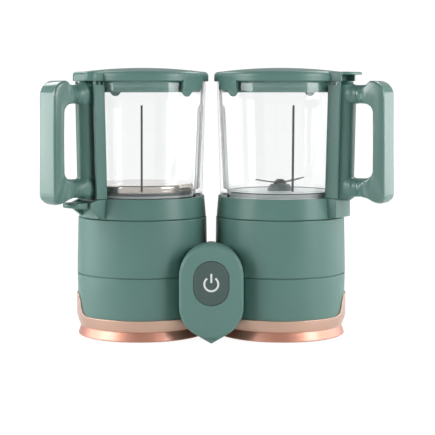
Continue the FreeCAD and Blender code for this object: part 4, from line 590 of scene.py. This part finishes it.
def flat_strip(path):
    """Strip of constant width along a flat path in X and Z, as a thin closed band in front of the cap."""
    run = np.gradient(path, axis=0)
    run /= np.linalg.norm(run, axis=1, keepdims=True)
    side = np.stack([-run[:, 1], run[:, 0]], 1) * PRINT_WIDTH / 2
    left, right = path + side, path - side
    rows = [upright(left, PRINT_BACK), upright(left, PRINT_FRONT), upright(right, PRINT_FRONT),
            upright(right, PRINT_BACK)]
    return shell(np.stack(rows, 1), caps=True)


SIGN = [flat_strip(arc((0, 57.4), 6.6, 125, 415, 41)),
        flat_strip(np.stack([np.zeros(9), np.linspace(58.6, 67.2, 9)], 1))]
piece("button_power_sign", SIGN, "middle", "button", MARK)

# %% [markdown]
# ## Collars
# Each jug stands in a green collar with a boss under its handle. The ring is turned, and the boss is a slab
# set into it. A Boolean union could join the two, but the slab's root is hidden in the ring, so it needs
# none. On the steam jug the boss is a wedge of two cheeks, with the release lever hung between them.

# %% Collars and bosses
COLLAR = rounded([(55.0, 116.35), (63.0, 116.3), (61.3, 136.3), (59.55, 136.3), (59.55, 131.5), (47.5, 131.5),
                  (47.5, 122.5), (15.5, 122.5), (15.5, 119.5), (55.0, 119.5)],
                 [0, 0.9, 0.8, 0.3, 0, 0, 0, 0, 0, 0])


def slab_along_y(corners, radii, low, high, edge=0.6):
    """Side outline in X and Z with rounded corners, carried across Y with rounded rims."""
    return layers(rounded(corners, radii), edge_levels(low, high, edge), "XZ")


RIGHT_BOSS = slab_along_y([(58.2, 117.6), (70, 117.6), (70, 136), (58.2, 136)], [0, 1.2, 1.2, 0], -15, 15)
CHEEK = [(58.2, 117.6), (64.5, 117.6), (78, 127.1), (78, 133.2), (69.5, 135.9), (58.2, 135.9)]
LEDGE = [(58.2, 134.1), (69.5, 134.1), (69.5, 135.9), (58.2, 135.9)]
BACK_WALL = [(58.2, 117.6), (66.7, 117.6), (66.7, 134.5), (58.2, 134.5)]
LEFT_BOSS = [slab_along_y(CHEEK, [0, 1.5, 1.2, 1.0, 2, 0], *ends) for ends in ((-15, -11.6), (11.6, 15))]
LEFT_BOSS += [slab_along_y(LEDGE, [0, 0.3, 0.3, 0], -12, 12, 0.1), slab_along_y(BACK_WALL, 0, -12, 12, 0.1)]
for side, boss in (("left", LEFT_BOSS), ("right", [RIGHT_BOSS])):
    piece(side + "_collar_ring", [turned(COLLAR)] + boss, side + "_jug", side + "_jug", SAGE,
          [side + "_collar"])

# %% Release lever
PADDLE_TOP = 133.4
PADDLE_INSET, PADDLE_DEPTH = (1.4, 0.5, 0.1, 0.0), (0, 0.3, 0.9, 1.5)


def lever_paddle():
    """Plan outline with rounded tip corners; each level follows the paddle's sloped underside or flat top."""
    plan = rounded([(67.4, -11), (95.5, -11), (95.5, 11), (67.4, 11)], [2.5, 8.5, 8.5, 2.5], steps=8)
    spots, _ = layers(plan, [(0, inset) for inset in PADDLE_INSET + PADDLE_INSET[::-1]])
    grid = spots.reshape(8, -1, 3).copy()
    under = np.interp(grid[..., 0], (67, 71, 95.5), (126.4, 126.2, 128.8))
    depth = np.array(PADDLE_DEPTH + PADDLE_DEPTH[::-1])[:, None]
    lower = (np.arange(8) < 4)[:, None]
    grid[..., 2] = np.where(lower, under + depth, PADDLE_TOP - depth)
    return shell(grid, caps=True)


piece("lever_paddle", [lever_paddle()], "left_jug", "lever", SAGE, ["release_lever"])

# %% [markdown]
# ## Glass jugs
# The glass is a tapered wall with a rounded rim and a cove at its foot. A sheet with a Solidify modifier
# would be equally thick all the way up, and this wall is thicker at its foot, so both its faces are in one
# closed turned profile. Each jug has three upright ribs inside. Seen through the wall, two read as dark lines
# and the one at the side as a pale line, so they are thin opaque wedges of their own: dark grey painted shade
# on two and a pale grey painted highlight on the side one, where the real ribs are clear glass that bends
# light.

# %% Glass walls and ribs
GLASS_BOTTOM, GLASS_TOP, GLASS_COVE = 134.3, 248.9, 142.6
RIB_LOW, RIB_HIGH, RIB_DEEP = 143.2, 226, 2.4
RIB_TURN, SIDE_RIB_TURN = 48, {"left": 138, "right": -138}
WALL = rounded([(50.3, GLASS_BOTTOM), (59.2, GLASS_BOTTOM), (62.8, GLASS_TOP), (58.5, GLASS_TOP),
                (53.9, GLASS_COVE), (50.3, GLASS_COVE)], [0.4, 0.8, 2.0, 1.6, 3.4, 0.4], steps=8)


def glass_inside(height):
    """Inside of the tapered wall at a height."""
    return 53.9 + 4.6 * (height - GLASS_COVE) / (GLASS_TOP - GLASS_COVE)


def about_axis(along, across, height, turn):
    """Points u along and v across the direction a: x = u cos a - v sin a, y = u sin a + v cos a."""
    c, s = math.cos(math.radians(turn)), math.sin(math.radians(turn))
    return np.stack([along * c - across * s, along * s + across * c, height], 1)


def rib(turn):
    """Upright wedge on the inner wall: its foot and top follow the taper, its top end is sloped."""
    height = np.linspace(RIB_LOW, RIB_HIGH, 24)
    inner = glass_inside(height) - np.minimum(RIB_DEEP, (RIB_HIGH + 0.4 - height) * 0.8)
    outer = glass_inside(height) + 0.3
    edges = ((inner, -0.7), (outer, -1.0), (outer, 1.0), (inner, 0.7))
    ring = [about_axis(radius, across, height, turn) for radius, across in edges]
    return shell(np.stack(ring, 1), caps=True)


for side in SIDES:
    jug = side + "_jug"
    piece(side + "_glass_wall", [turned(WALL, steps=200)], jug, jug, GLASS, [side + "_glass"])
    # Rib pieces: painted shade on the two ribs, a painted highlight on the side rib.
    piece(side + "_glass_ribs", [rib(RIB_TURN), rib(-RIB_TURN)], jug, jug, RIB_PAINTED_DARK)
    piece(side + "_side_rib", [rib(SIDE_RIB_TURN[side])], jug, jug, RIB_PAINTED_PALE)

# %% [markdown]
# ## Floors of the jugs
# The steam jug's floor is a polished steel dish, and the blender jug's is a pale plug with a domed hub in it.
# Two beads, one on the other, close the gap between each floor and the foot of the glass. Their colours are
# painted light: the grey one under the floor is painted shade for a dark line, and the pale one below it is a
# painted highlight for a pale line. A cylinder with a Bevel would be quick, but a turned profile gives each
# lip its own radius.

# %% Dish and beads
DISH = rounded([(48.8, 131.5), (58.6, 131.5), (58.6, 132.7), (50.0, 132.7), (50.0, 148.5), (0, 148.5),
                (0, 147.3), (48.8, 147.3)], [0, 0.3, 0.3, 0.8, 2.4, 0, 0, 1.4])
piece("steam_dish_steel", [turned(DISH)], "left_jug", "left_jug", STEEL, ["steam_dish"])
BEAD_FOOT = 136.2


def bead(low, high):
    """Ring between the floor and the foot of the glass."""
    return [turned(rounded([(49.4, low), (50.25, low), (50.25, high), (49.4, high)], 0.3))]


# The upper bead is painted shade and the lower one a painted highlight.
for side, low, high in (("left", 138.3, 141.5), ("right", 139.9, 141.2)):
    piece(side + "_floor_bead", bead(low, high), side + "_jug", side + "_jug", BEAD_PAINTED_SHADE)
    piece(side + "_foot_bead", bead(BEAD_FOOT, low), side + "_jug", side + "_jug", BEAD_PAINTED_HIGHLIGHT)

# %% Blender floor and hub
FLOOR = rounded([(12.0, 131.5), (58.6, 131.5), (58.6, 132.7), (50.0, 132.7), (50.0, 140.6), (12.0, 140.6)],
                [0, 0.3, 0.3, 0, 1.2, 0])
HUB_DOME = rounded([(5.6, 126.0), (9.0, 126.0), (9.0, 131.5), (11.9, 131.5), (11.9, 140.7), (12.6, 140.7),
                    (12.0, 143.4), (9.6, 146.9), (5.6, 147.3)], [0, 0.3, 0, 0, 0, 0.4, 3, 1.2, 0])
piece("blender_floor", [turned(FLOOR)], "right_jug", "right_jug", PALE, ["blade_base"])
piece("blade_hub", [turned(HUB_DOME)], "right_jug", "right_jug", HUB, ["blade_base"])

# %% [markdown]
# ## Blades
# Two pairs of bent blades and a cap nut turn on one shaft. A blade could be cut from a sheet and folded in
# Edit Mode. Here it is a strip with a ground edge, whose width tapers along its arm while its height bends,
# because one function then gives all four arms.

# %% Blade pairs
BLADE_HALF, BLADE_FLAT = 4.4, 7
BLADE_SECTION = ((-1, 0.45), (-0.6, 0.0), (1, 0.0), (1, 1.2), (-0.6, 1.2), (-1, 0.75))
BLADE_DISC = rounded([(3.03, 0), (6.4, 0), (6.4, 1.15), (3.03, 1.15)], 0.2)


def blade_arm(turn, reach, root_height, tip_height, sweep):
    """Arm from the root to a point: width tapers as (1 - t) ** 0.6, height bends, the tip sweeps sideways."""
    t = np.linspace(0, 1, 25)
    along, middle = reach * t, sweep * t ** 2
    half = BLADE_HALF * np.maximum(1 - t, 0.02) ** 0.6
    bend = np.clip((along - BLADE_FLAT) / (reach - BLADE_FLAT), 0, 1)
    height = root_height + (tip_height - root_height) * bend ** 1.2
    ring = [about_axis(along, middle + side * half, height + lift, turn) for side, lift in BLADE_SECTION]
    return shell(np.stack(ring, 1), caps=True)


# The blades get the blade steel with its painted shade.
for name, turn, reach, root, tip, sweep in (("lower_blades", -60, 25, 147.5, 143.2, 3.0),
                                            ("upper_blades", 60, 30, 148.75, 152.2, 3.4)):
    arms = [blade_arm(turn + half_turn, reach, root, tip, sweep) for half_turn in (0, 180)]
    disc = turned(BLADE_DISC + np.array([0, root]), 48)
    piece(name + "_steel", arms + [disc], "right_jug", "blades", BLADE_PAINTED_SHADE, [name])

# %% Cap nut and shaft
NUT = rounded([(0, 149.95), (5.2, 149.95), (5.0, 150.9), (3.2, 152.0), (0, 152.2)], [0, 0.2, 0.6, 0.8, 0],
              closed=False)
NUT_DOME = NUT * np.array([0.9, 1]) + np.array([0, 0.1])
SHAFT_TOP = 150.5
SHAFT_LOW = min(corner[2] for corner in frame["nodes"]["blade_shaft"].bound_box) * 1000
SHAFT = np.array([(0, SHAFT_LOW), (3, SHAFT_LOW), (3, SHAFT_TOP), (0, SHAFT_TOP)])
NUT_PROFILES = ((NUT, 6), (NUT_DOME, 36), (SHAFT, 36))
# The cap nut and shaft share the blade steel's painted shade.
NUT_SHELLS = [turned(profile, steps, closed=False) for profile, steps in NUT_PROFILES]
piece("blade_cap_nut", NUT_SHELLS, "right_jug", "blades", BLADE_PAINTED_SHADE, ["blade_nut", "blade_shaft"])

# %% [markdown]
# ## Handle grips
# The grip is a D with a swayed top and a tail. A curve with a bevel would keep one section all the way, but
# the real grip passes from a circle at the seam to a rounded oblong on the bar. So it is one loft: at each
# step it spans the gap between the opening's curve and the outer curve.

# %% Curves of the grip
SEAM, JOINT, GRIP_INSIDE, GRIP_OUTSIDE = 87.65, 97.1, 106.1, 118.5
ARM_RADIUS, BAR_HALF = 9, 12


def matched(curve, count):
    """Resample a polyline to a number of points evenly along its length."""
    curve = np.asarray(curve, float)
    run = np.concatenate([[0], np.cumsum(np.linalg.norm(np.diff(curve, axis=0), axis=1))])
    want = np.linspace(0, run[-1], count)
    return np.stack([np.interp(want, run, curve[:, 0]), np.interp(want, run, curve[:, 1])], 1)


def grip_curves():
    """Opening and outer curve in (distance, height), cut into the same runs: arm, corner, bar, tail, arm."""
    top = np.concatenate([arc((JOINT, 249.99), 4.49, 270, 325.5, 9), arc((104.5, 244.91), 4.49, 145.5, 90, 9),
                          arc((104.5, 235.4), 14, 90, 0, 15)])
    tail = np.concatenate([arc((110.11, 141.0), 8.39, 0, -135, 25), arc((JOINT, 128.0), 10.0, 45, 90, 9)])
    runs = [
        ([(SEAM, 227.5), (JOINT, 227.5)], [(SEAM, 245.5), (JOINT, 245.5)], 9),
        (arc((JOINT, 218.5), 9, 90, 0, 17), top, 31),
        ([(GRIP_INSIDE, 218.5), (GRIP_INSIDE, 165)], [(GRIP_OUTSIDE, 235.4), (GRIP_OUTSIDE, 141.0)], 25),
        (arc((JOINT, 165), 9, 0, -90, 17), tail, 37),
        ([(JOINT, 156), (SEAM, 156)], [(JOINT, 138), (SEAM, 138)], 9),
    ]
    opening = np.concatenate([matched(near, count)[:-1] for near, far, count in runs] + [[(SEAM, 156)]])
    outer = np.concatenate([matched(far, count)[:-1] for near, far, count in runs] + [[(SEAM, 138)]])
    return opening, outer


print("points along the grip:", len(grip_curves()[0]))

# %% Grip loft
BLEND_RUN, TAIL_TOP, TAIL_HEIGHT = 12.0, 142.6, 10


def oblong(half_deep, half_wide, radius, steps=7):
    """Rounded oblong for every row at once: four quarter arcs about its corner centres."""
    turns = np.radians(np.concatenate([np.linspace(start, start + 90, steps) for start in (0, 90, 180, 270)]))
    corner = np.repeat([[1, 1], [-1, 1], [-1, -1], [1, -1]], steps, axis=0)
    deep = (half_deep - radius)[:, None] * corner[:, 0] + radius[:, None] * np.cos(turns)
    wide = (half_wide - radius)[:, None] * corner[:, 1] + radius[:, None] * np.sin(turns)
    return deep, wide


def smooth(value):
    """Ease from 0 to 1: 3 t t - 2 t t t."""
    value = np.clip(value, 0, 1)
    return value * value * (3 - 2 * value)


def grip():
    """Sections between the two curves, from circles of the arm's radius at the seams to an oblong on the bar.

    At the tail's end the outer points are drawn in sideways, along an ellipse as high as the tail.
    """
    opening, outer = grip_curves()
    middle, span = (opening + outer) / 2, outer - opening
    length = np.linalg.norm(span, axis=1)
    across = span / length[:, None]
    blend = smooth((opening[:, 0] - SEAM) / BLEND_RUN)
    half_wide = ARM_RADIUS + (BAR_HALF - ARM_RADIUS) * blend
    radius = np.minimum(ARM_RADIUS - 6.5 * blend, length / 2)
    deep, wide = oblong(length / 2, half_wide, radius)
    x = middle[:, :1] + across[:, :1] * deep
    z = middle[:, 1:] + across[:, 1:] * deep
    below = np.clip((TAIL_TOP - z) / TAIL_HEIGHT, 0, 1) * smooth((x - 99) / 7)
    wide = wide * (1 - (1 - np.sqrt(1 - below ** 2)) * 0.75)
    return shell(np.stack([x, wide, z], -1), caps=True)


for side in SIDES:
    piece(side + "_grip_loft", [grip()], side + "_jug", side + "_jug", SAGE_GRIP,
          [side + "_handle_grip"], sharp=50)

# %% [markdown]
# ## Handle brackets
# A flanged bar follows the glass, with a round column between its flanges and two stubs that meet the grip's
# arms. The bar leans with the glass, so it is a straight loft between two sections of one outline. An Extrude
# would keep the section's curved back too tight at the top. A Bevel modifier softens its edges, since here
# they are all alike.

# %% Bar of the bracket
FLANGE_OUT, FLANGE_IN = 15, 12.4
BAR_LOW, BAR_RUN = 136.35, 109.35
TOOTH_LOW, TOOTH_HIGH = 245.5, 248.85


def bracket_section(back, reach, side):
    """Arc round the glass, two flanges, grooves and a half-round column, as one outline in X and Y.

    The left column stands aside from the flange that faces the viewer, and the right one runs into it.
    """
    column, shift = (9.0, -1.4) if side == "left" else (10.4, 0.0)
    centre, valley = reach - 1.0, reach - 8.5
    corner = math.degrees(math.asin(FLANGE_OUT / back))
    inner = arc((0, 0), back, corner, -corner, 13)
    floor = valley if side == "left" else centre
    lower = [(reach, -FLANGE_OUT), (reach, -FLANGE_IN), (floor, -FLANGE_IN), (floor, shift - column)]
    bow = arc((centre, shift), column, -90, 90, 33)
    upper = [(valley, shift + column), (valley, FLANGE_IN), (reach, FLANGE_IN), (reach, FLANGE_OUT)]
    return np.concatenate([inner, lower, bow, upper])


def bracket(side):
    """Straight loft between the sections at the collar and at the floor of the notches under the lid."""
    low, high = bracket_section(59.42, 70.4, side), bracket_section(62.85, 73.7, side)
    rows = []
    for share in (0.0, 0.25, 0.5, 0.75, 1.0):
        flat = low + (high - low) * share
        rows.append(np.column_stack([flat, np.full(len(flat), BAR_LOW + BAR_RUN * share)]))
    return shell(np.stack(rows), caps=True)


def teeth():
    """Blocks on the tops of the two flanges, with the two notches left open between them."""
    blocks = []
    for near, far in ((61.6, 63.0), (66.4, 68.4), (71.8, 73.7)):
        corners = [(near, TOOTH_LOW), (far, TOOTH_LOW), (far, TOOTH_HIGH), (near, TOOTH_HIGH)]
        for ends in ((-FLANGE_OUT, -FLANGE_IN), (FLANGE_IN, FLANGE_OUT)):
            blocks.append(slab_along_y(corners, 0, *ends, 0.2))
    return blocks


print("teeth on each bracket:", len(teeth()))

# %% Stubs, then the brackets
STUB_LOW, STUB_HIGH = 147.0, 236.5
FILLET_DEPTH = {"left": 9.0, "right": 13.5}


def stub(height, below=13.5):
    """Round arm along X that flares into the column: turned about X, its radius grows near the column.

    The fillet is cut level at a depth below the axis, which leaves room for the release lever.
    """
    profile = rounded([(66.5, 0), (66.5, 13.5), (76.5, 13.2), (82.0, 9.0), (87.35, 9.0), (87.35, 0)],
                      [0, 0, 2, 6, 0.5, 0], closed=False)
    turns = np.radians(np.arange(0, 360, 7.5))
    x, r = profile[:, 0][:, None], profile[:, 1][:, None]
    across = r * np.cos(turns) * np.minimum(1, 9.5 / np.maximum(r, 1e-6))
    return shell(np.stack([x + 0 * turns, across, height + np.maximum(r * np.sin(turns), -below)], -1))


for side in SIDES:
    stubs = [stub(STUB_HIGH), stub(STUB_LOW, FILLET_DEPTH[side])]
    piece(side + "_bracket_bar", [bracket(side)] + stubs + teeth(), side + "_jug", side + "_jug",
          SAGE, [side + "_handle_bracket"], bevel=0.5)

# %% [markdown]
# ## Lids
# A lid is a shallow dome over a plain rim, with a hollow plug inside the glass. A tongue reaches over the
# handle, and two lugs with half-round nubs hang outside the glass. One turned profile gives the dome, the rim
# and the plug. The rest are closed shells sunk into it, which needs no Boolean and keeps every rim soft.

# %% Profile of a lid
LID_BOTTOM = 249.2
SHOULDER, CROWN_FOOT, CROWN_RISE = 61.3, 258.6, 4.1


def lid_profile():
    """Rim and plug as a rounded outline, and the crown as an arc: its radius is (s s + h h) / 2 h."""
    dome = (SHOULDER ** 2 + CROWN_RISE ** 2) / (2 * CROWN_RISE)
    angle = math.degrees(math.asin(SHOULDER / dome))
    crown = arc((0, CROWN_FOOT + CROWN_RISE - dome), dome, 90 - angle, 90, 25)
    rim = rounded([(54.3, 252.0), (54.3, 238.3), (57.3, 238.3), (57.3, LID_BOTTOM), (65.5, LID_BOTTOM),
                   (65.5, 258.5), (56.0, 259.05)], [0, 0.5, 0.6, 0.3, 0.6, 4.2, 0], closed=False)
    ceiling = np.array([(0, 255.2), (52.0, 255.2), (54.3, 254.6)])
    return np.concatenate([rim[:-1], crown, ceiling])


print("points of the lid's profile:", len(lid_profile()))

# %% Tongues
TONGUE_ROOT, TONGUE_HALF, TONGUE_TOP = 58.0, 15.6, 258.2


def tongue_slab(end, low, over):
    """Plan outline with rounded outer corners, with a small round below and a larger one, over, above."""
    plan = rounded([(TONGUE_ROOT, -TONGUE_HALF), (end, -TONGUE_HALF), (end, TONGUE_HALF),
                    (TONGUE_ROOT, TONGUE_HALF)], [0, 8, 8, 0], steps=10)
    return layers(plan, edge_levels(low, TONGUE_TOP, 0.5)[:5] + edge_levels(low, TONGUE_TOP, over, 6)[-7:])


def tongue_wall(end, low, high):
    """Block from the root to an end, between two places along Y, under the roof of the open tongue."""
    corners = [(TONGUE_ROOT, LID_BOTTOM), (end, LID_BOTTOM), (end, 256), (TONGUE_ROOT, 256)]
    return slab_along_y(corners, 0, low, high, 0.2)


SOLID_TONGUE = [tongue_slab(79.8, LID_BOTTOM, 3.4)]
OPEN_TONGUE = [tongue_slab(85.5, 255.4, 1.4), tongue_wall(67.0, -13.5, 13.5),
               tongue_wall(75.5, -TONGUE_HALF, -13.2), tongue_wall(75.5, 13.2, TONGUE_HALF)]
print("shells of the tongues:", len(SOLID_TONGUE), "and", len(OPEN_TONGUE))

# %% Lugs and nubs, then the lids
LUG_FOOT, LUG_SWEEP, NUB_RADIUS = 240.6, 24.5, 6.4


def lug(turn):
    """Curved tab: a small outline turned over the lug's sweep, centred on an angle."""
    outline = rounded([(63.4, LUG_FOOT), (66.6, LUG_FOOT), (66.6, 250.4), (63.4, 250.4)], [0.3, 0.6, 0.4, 0])
    return turned(outline, 16, turn - LUG_SWEEP / 2, LUG_SWEEP)


def nub(turn):
    """Half disc under the lug: the outline in the tangent direction and Z, carried along the radius."""
    half_disc = arc((0, LUG_FOOT), NUB_RADIUS, 180, 360, 21)
    flat = np.concatenate([half_disc, [(NUB_RADIUS, 242.0), (-NUB_RADIUS, 242.0)]])
    spots, faces = layers(flat, edge_levels(63.9, 65.6, 0.4), "XZ")
    return about_axis(spots[:, 1], spots[:, 0], spots[:, 2], turn), faces


HANGING = [lug(97.2), lug(-112.2), nub(90), nub(-105)]
for side, tongue in (("left", SOLID_TONGUE), ("right", OPEN_TONGUE)):
    piece(side + "_lid_dome", [turned(lid_profile(), steps=200)] + tongue + HANGING, side + "_jug",
          side + "_lid", SAGE, [side + "_lid"])

# %% [markdown]
# ## Floor
# The object stands on a plain white floor. White paint alone would turn grey away from the lamps, so the
# floor mixes its own shading, which keeps the contact shadow, with a white glow that takes over farther off.
# The camera and the glass see the whole mix, and gloss sees a smaller share of the glow.

# %% Floor
NEAR_TO_FAR = (0.18, 0.5)
FLOOR_HALF, FLOOR_HEIGHT = 6, -0.0005


def white_rays(tree):
    """Light Path node, and a socket that is 1 for rays from the camera and rays that passed through glass."""
    path, seen = tree.nodes.new("ShaderNodeLightPath"), tree.nodes.new("ShaderNodeMath")
    seen.operation = "MAXIMUM"
    tree.links.new(path.outputs["Is Camera Ray"], seen.inputs[0])
    tree.links.new(path.outputs["Is Transmission Ray"], seen.inputs[1])
    return path, seen.outputs[0]


def pale_floor():
    """Shading and glow mixed by (seen + 0.3 gloss) times a share that grows with the distance."""
    material = bpy.data.materials.new("pale_floor")
    material.use_nodes = True
    tree = material.node_tree
    nodes, links = tree.nodes, tree.links
    shader = nodes["Principled BSDF"]
    shader.inputs["Base Color"].default_value = (0.95, 0.95, 0.95, 1)
    shader.inputs["Roughness"].default_value = 0.6
    where, far = nodes.new("ShaderNodeTexCoord"), nodes.new("ShaderNodeVectorMath")
    far.operation = "LENGTH"
    links.new(where.outputs["Object"], far.inputs[0])
    glow, mix = nodes.new("ShaderNodeEmission"), nodes.new("ShaderNodeMixShader")
    links.new(ranged(tree, far.outputs["Value"], NEAR_TO_FAR, (1.3, 1.05)), glow.inputs["Strength"])
    path, seen = white_rays(tree)
    sheen, share = nodes.new("ShaderNodeMath"), nodes.new("ShaderNodeMath")
    sheen.operation, share.operation = "MULTIPLY_ADD", "MULTIPLY"
    links.new(path.outputs["Is Glossy Ray"], sheen.inputs[0])
    sheen.inputs[1].default_value = 0.3
    links.new(seen, sheen.inputs[2])
    links.new(sheen.outputs[0], share.inputs[0])
    links.new(ranged(tree, far.outputs["Value"], NEAR_TO_FAR, (0.72, 1.0)), share.inputs[1])
    links.new(share.outputs[0], mix.inputs["Fac"])
    links.new(shader.outputs["BSDF"], mix.inputs[1])
    links.new(glow.outputs["Emission"], mix.inputs[2])
    links.new(mix.outputs["Shader"], nodes["Material Output"].inputs["Surface"])
    return material


floor_mesh = bpy.data.meshes.new("floor")
corner_signs = ((-1, -1), (1, -1), (1, 1), (-1, 1))
floor_corners = [(x * FLOOR_HALF, y * FLOOR_HALF, FLOOR_HEIGHT) for x, y in corner_signs]
floor_mesh.from_pydata(floor_corners, [], [(0, 1, 2, 3)])
floor_mesh.materials.append(pale_floor())
floor = bpy.data.objects.new("floor", floor_mesh)
bpy.context.scene.collection.objects.link(floor)
print("floor:", 2 * FLOOR_HALF, "m wide")

# %% [markdown]
# ## World
# The camera and the glass see a white room. Gloss sees a dimmer one, darkest in front, because a white room
# all round would wash out the green and the copper. The room itself gives next to no light, so that the lamps
# alone shape the object. A panorama could do all this, but three plain backgrounds are easier to tune.

# %% World
scene = bpy.context.scene
scene.view_settings.view_transform = "Standard"
world = bpy.data.worlds.new("studio")
scene.world = world
world.use_nodes = True
sky = world.node_tree
room = sky.nodes["Background"]
mirror, white = sky.nodes.new("ShaderNodeBackground"), sky.nodes.new("ShaderNodeBackground")
for shade in (room, mirror, white):
    shade.inputs["Color"].default_value = (1, 1, 1, 1)
room.inputs["Strength"].default_value = 0.02
white.inputs["Strength"].default_value = 1.05
heading, split = sky.nodes.new("ShaderNodeTexCoord"), sky.nodes.new("ShaderNodeSeparateXYZ")
sky.links.new(heading.outputs["Generated"], split.inputs["Vector"])
brightness = ranged(sky, split.outputs["Y"], (-0.9, -0.2), (0.3, 0.42), "SMOOTHSTEP")
sky.links.new(brightness, mirror.inputs["Strength"])
path, seen = white_rays(sky)
gloss, pick = sky.nodes.new("ShaderNodeMixShader"), sky.nodes.new("ShaderNodeMixShader")
sky.links.new(path.outputs["Is Glossy Ray"], gloss.inputs["Fac"])
sky.links.new(room.outputs["Background"], gloss.inputs[1])
sky.links.new(mirror.outputs["Background"], gloss.inputs[2])
sky.links.new(seen, pick.inputs["Fac"])
sky.links.new(gloss.outputs["Shader"], pick.inputs[1])
sky.links.new(white.outputs["Background"], pick.inputs[2])
sky.links.new(pick.outputs["Shader"], sky.nodes["World Output"].inputs["Surface"])
print("world nodes:", len(sky.nodes))

# %% [markdown]
# ## Lamps
# Soft boxes stand to the left and right and behind, as round a table for small products. One large lamp in
# front would flatten the round walls, while boxes at the sides draw upright highlights along them. Each lamp
# is placed by its direction as seen from the object, which is easier to reason about than coordinates.

# %% Lamps
LAMP_DISTANCE, AIM = 1.5, np.array([0, 0, 0.12])
LAMPS = (("left_key", -64, 21, 0.7, 0.8, 14), ("left_side", -93, 6, 0.9, 0.5, 5.2),
         ("left_back", -140, 46, 0.6, 0.6, 5), ("right_key", 59, 20, 0.6, 0.8, 13.5),
         ("right_side", 98, 7, 0.8, 0.5, 4), ("right_rim", 122, 4, 0.5, 0.5, 1.4),
         ("right_back", 140, 47, 0.5, 0.5, 7))


def soft_box(name, azimuth, rise, width, height, power):
    """Area lamp in a direction (sin a cos e, -cos a cos e, sin e) from the aim, turned to face it."""
    a, e = math.radians(azimuth), math.radians(rise)
    toward = np.array([math.sin(a) * math.cos(e), -math.cos(a) * math.cos(e), math.sin(e)])
    lamp = bpy.data.lights.new(name, "AREA")
    lamp.shape = "RECTANGLE"
    lamp.energy, lamp.size, lamp.size_y = power, width, height
    thing = bpy.data.objects.new(name, lamp)
    thing.location = (AIM + LAMP_DISTANCE * toward).tolist()
    thing.rotation_euler = Vector(-toward).to_track_quat("-Z", "Y").to_euler()
    scene.collection.objects.link(thing)


for lamp_row in LAMPS:
    soft_box(*lamp_row)
print("lamps:", len(LAMPS))

# %% [markdown]
# ## Camera
# The camera is level, a little over a metre away and just under the lids' rims. Tilting it down would make
# the upright walls lean towards each other, so it looks straight ahead and the lens shift frames the object.

# %% Camera
camera = bpy.data.cameras.new("camera")
camera.lens, camera.sensor_width, camera.sensor_fit = 111.5, 36.0, "HORIZONTAL"
camera.shift_x, camera.shift_y = 0.0143, -0.2839
eye = bpy.data.objects.new("camera", camera)
eye.location = (0, -1.340, 0.23675)
eye.rotation_euler = (math.radians(90), 0, 0)
scene.collection.objects.link(eye)
scene.camera = eye
print("camera at", tuple(eye.location), "with a lens of", camera.lens, "mm")

# %% [markdown]
# ## Final update
# Dressing a model mustn't change its size. The script ends by bringing the scene's placements up to date.

# %% Update the scene
bpy.context.view_layer.update()
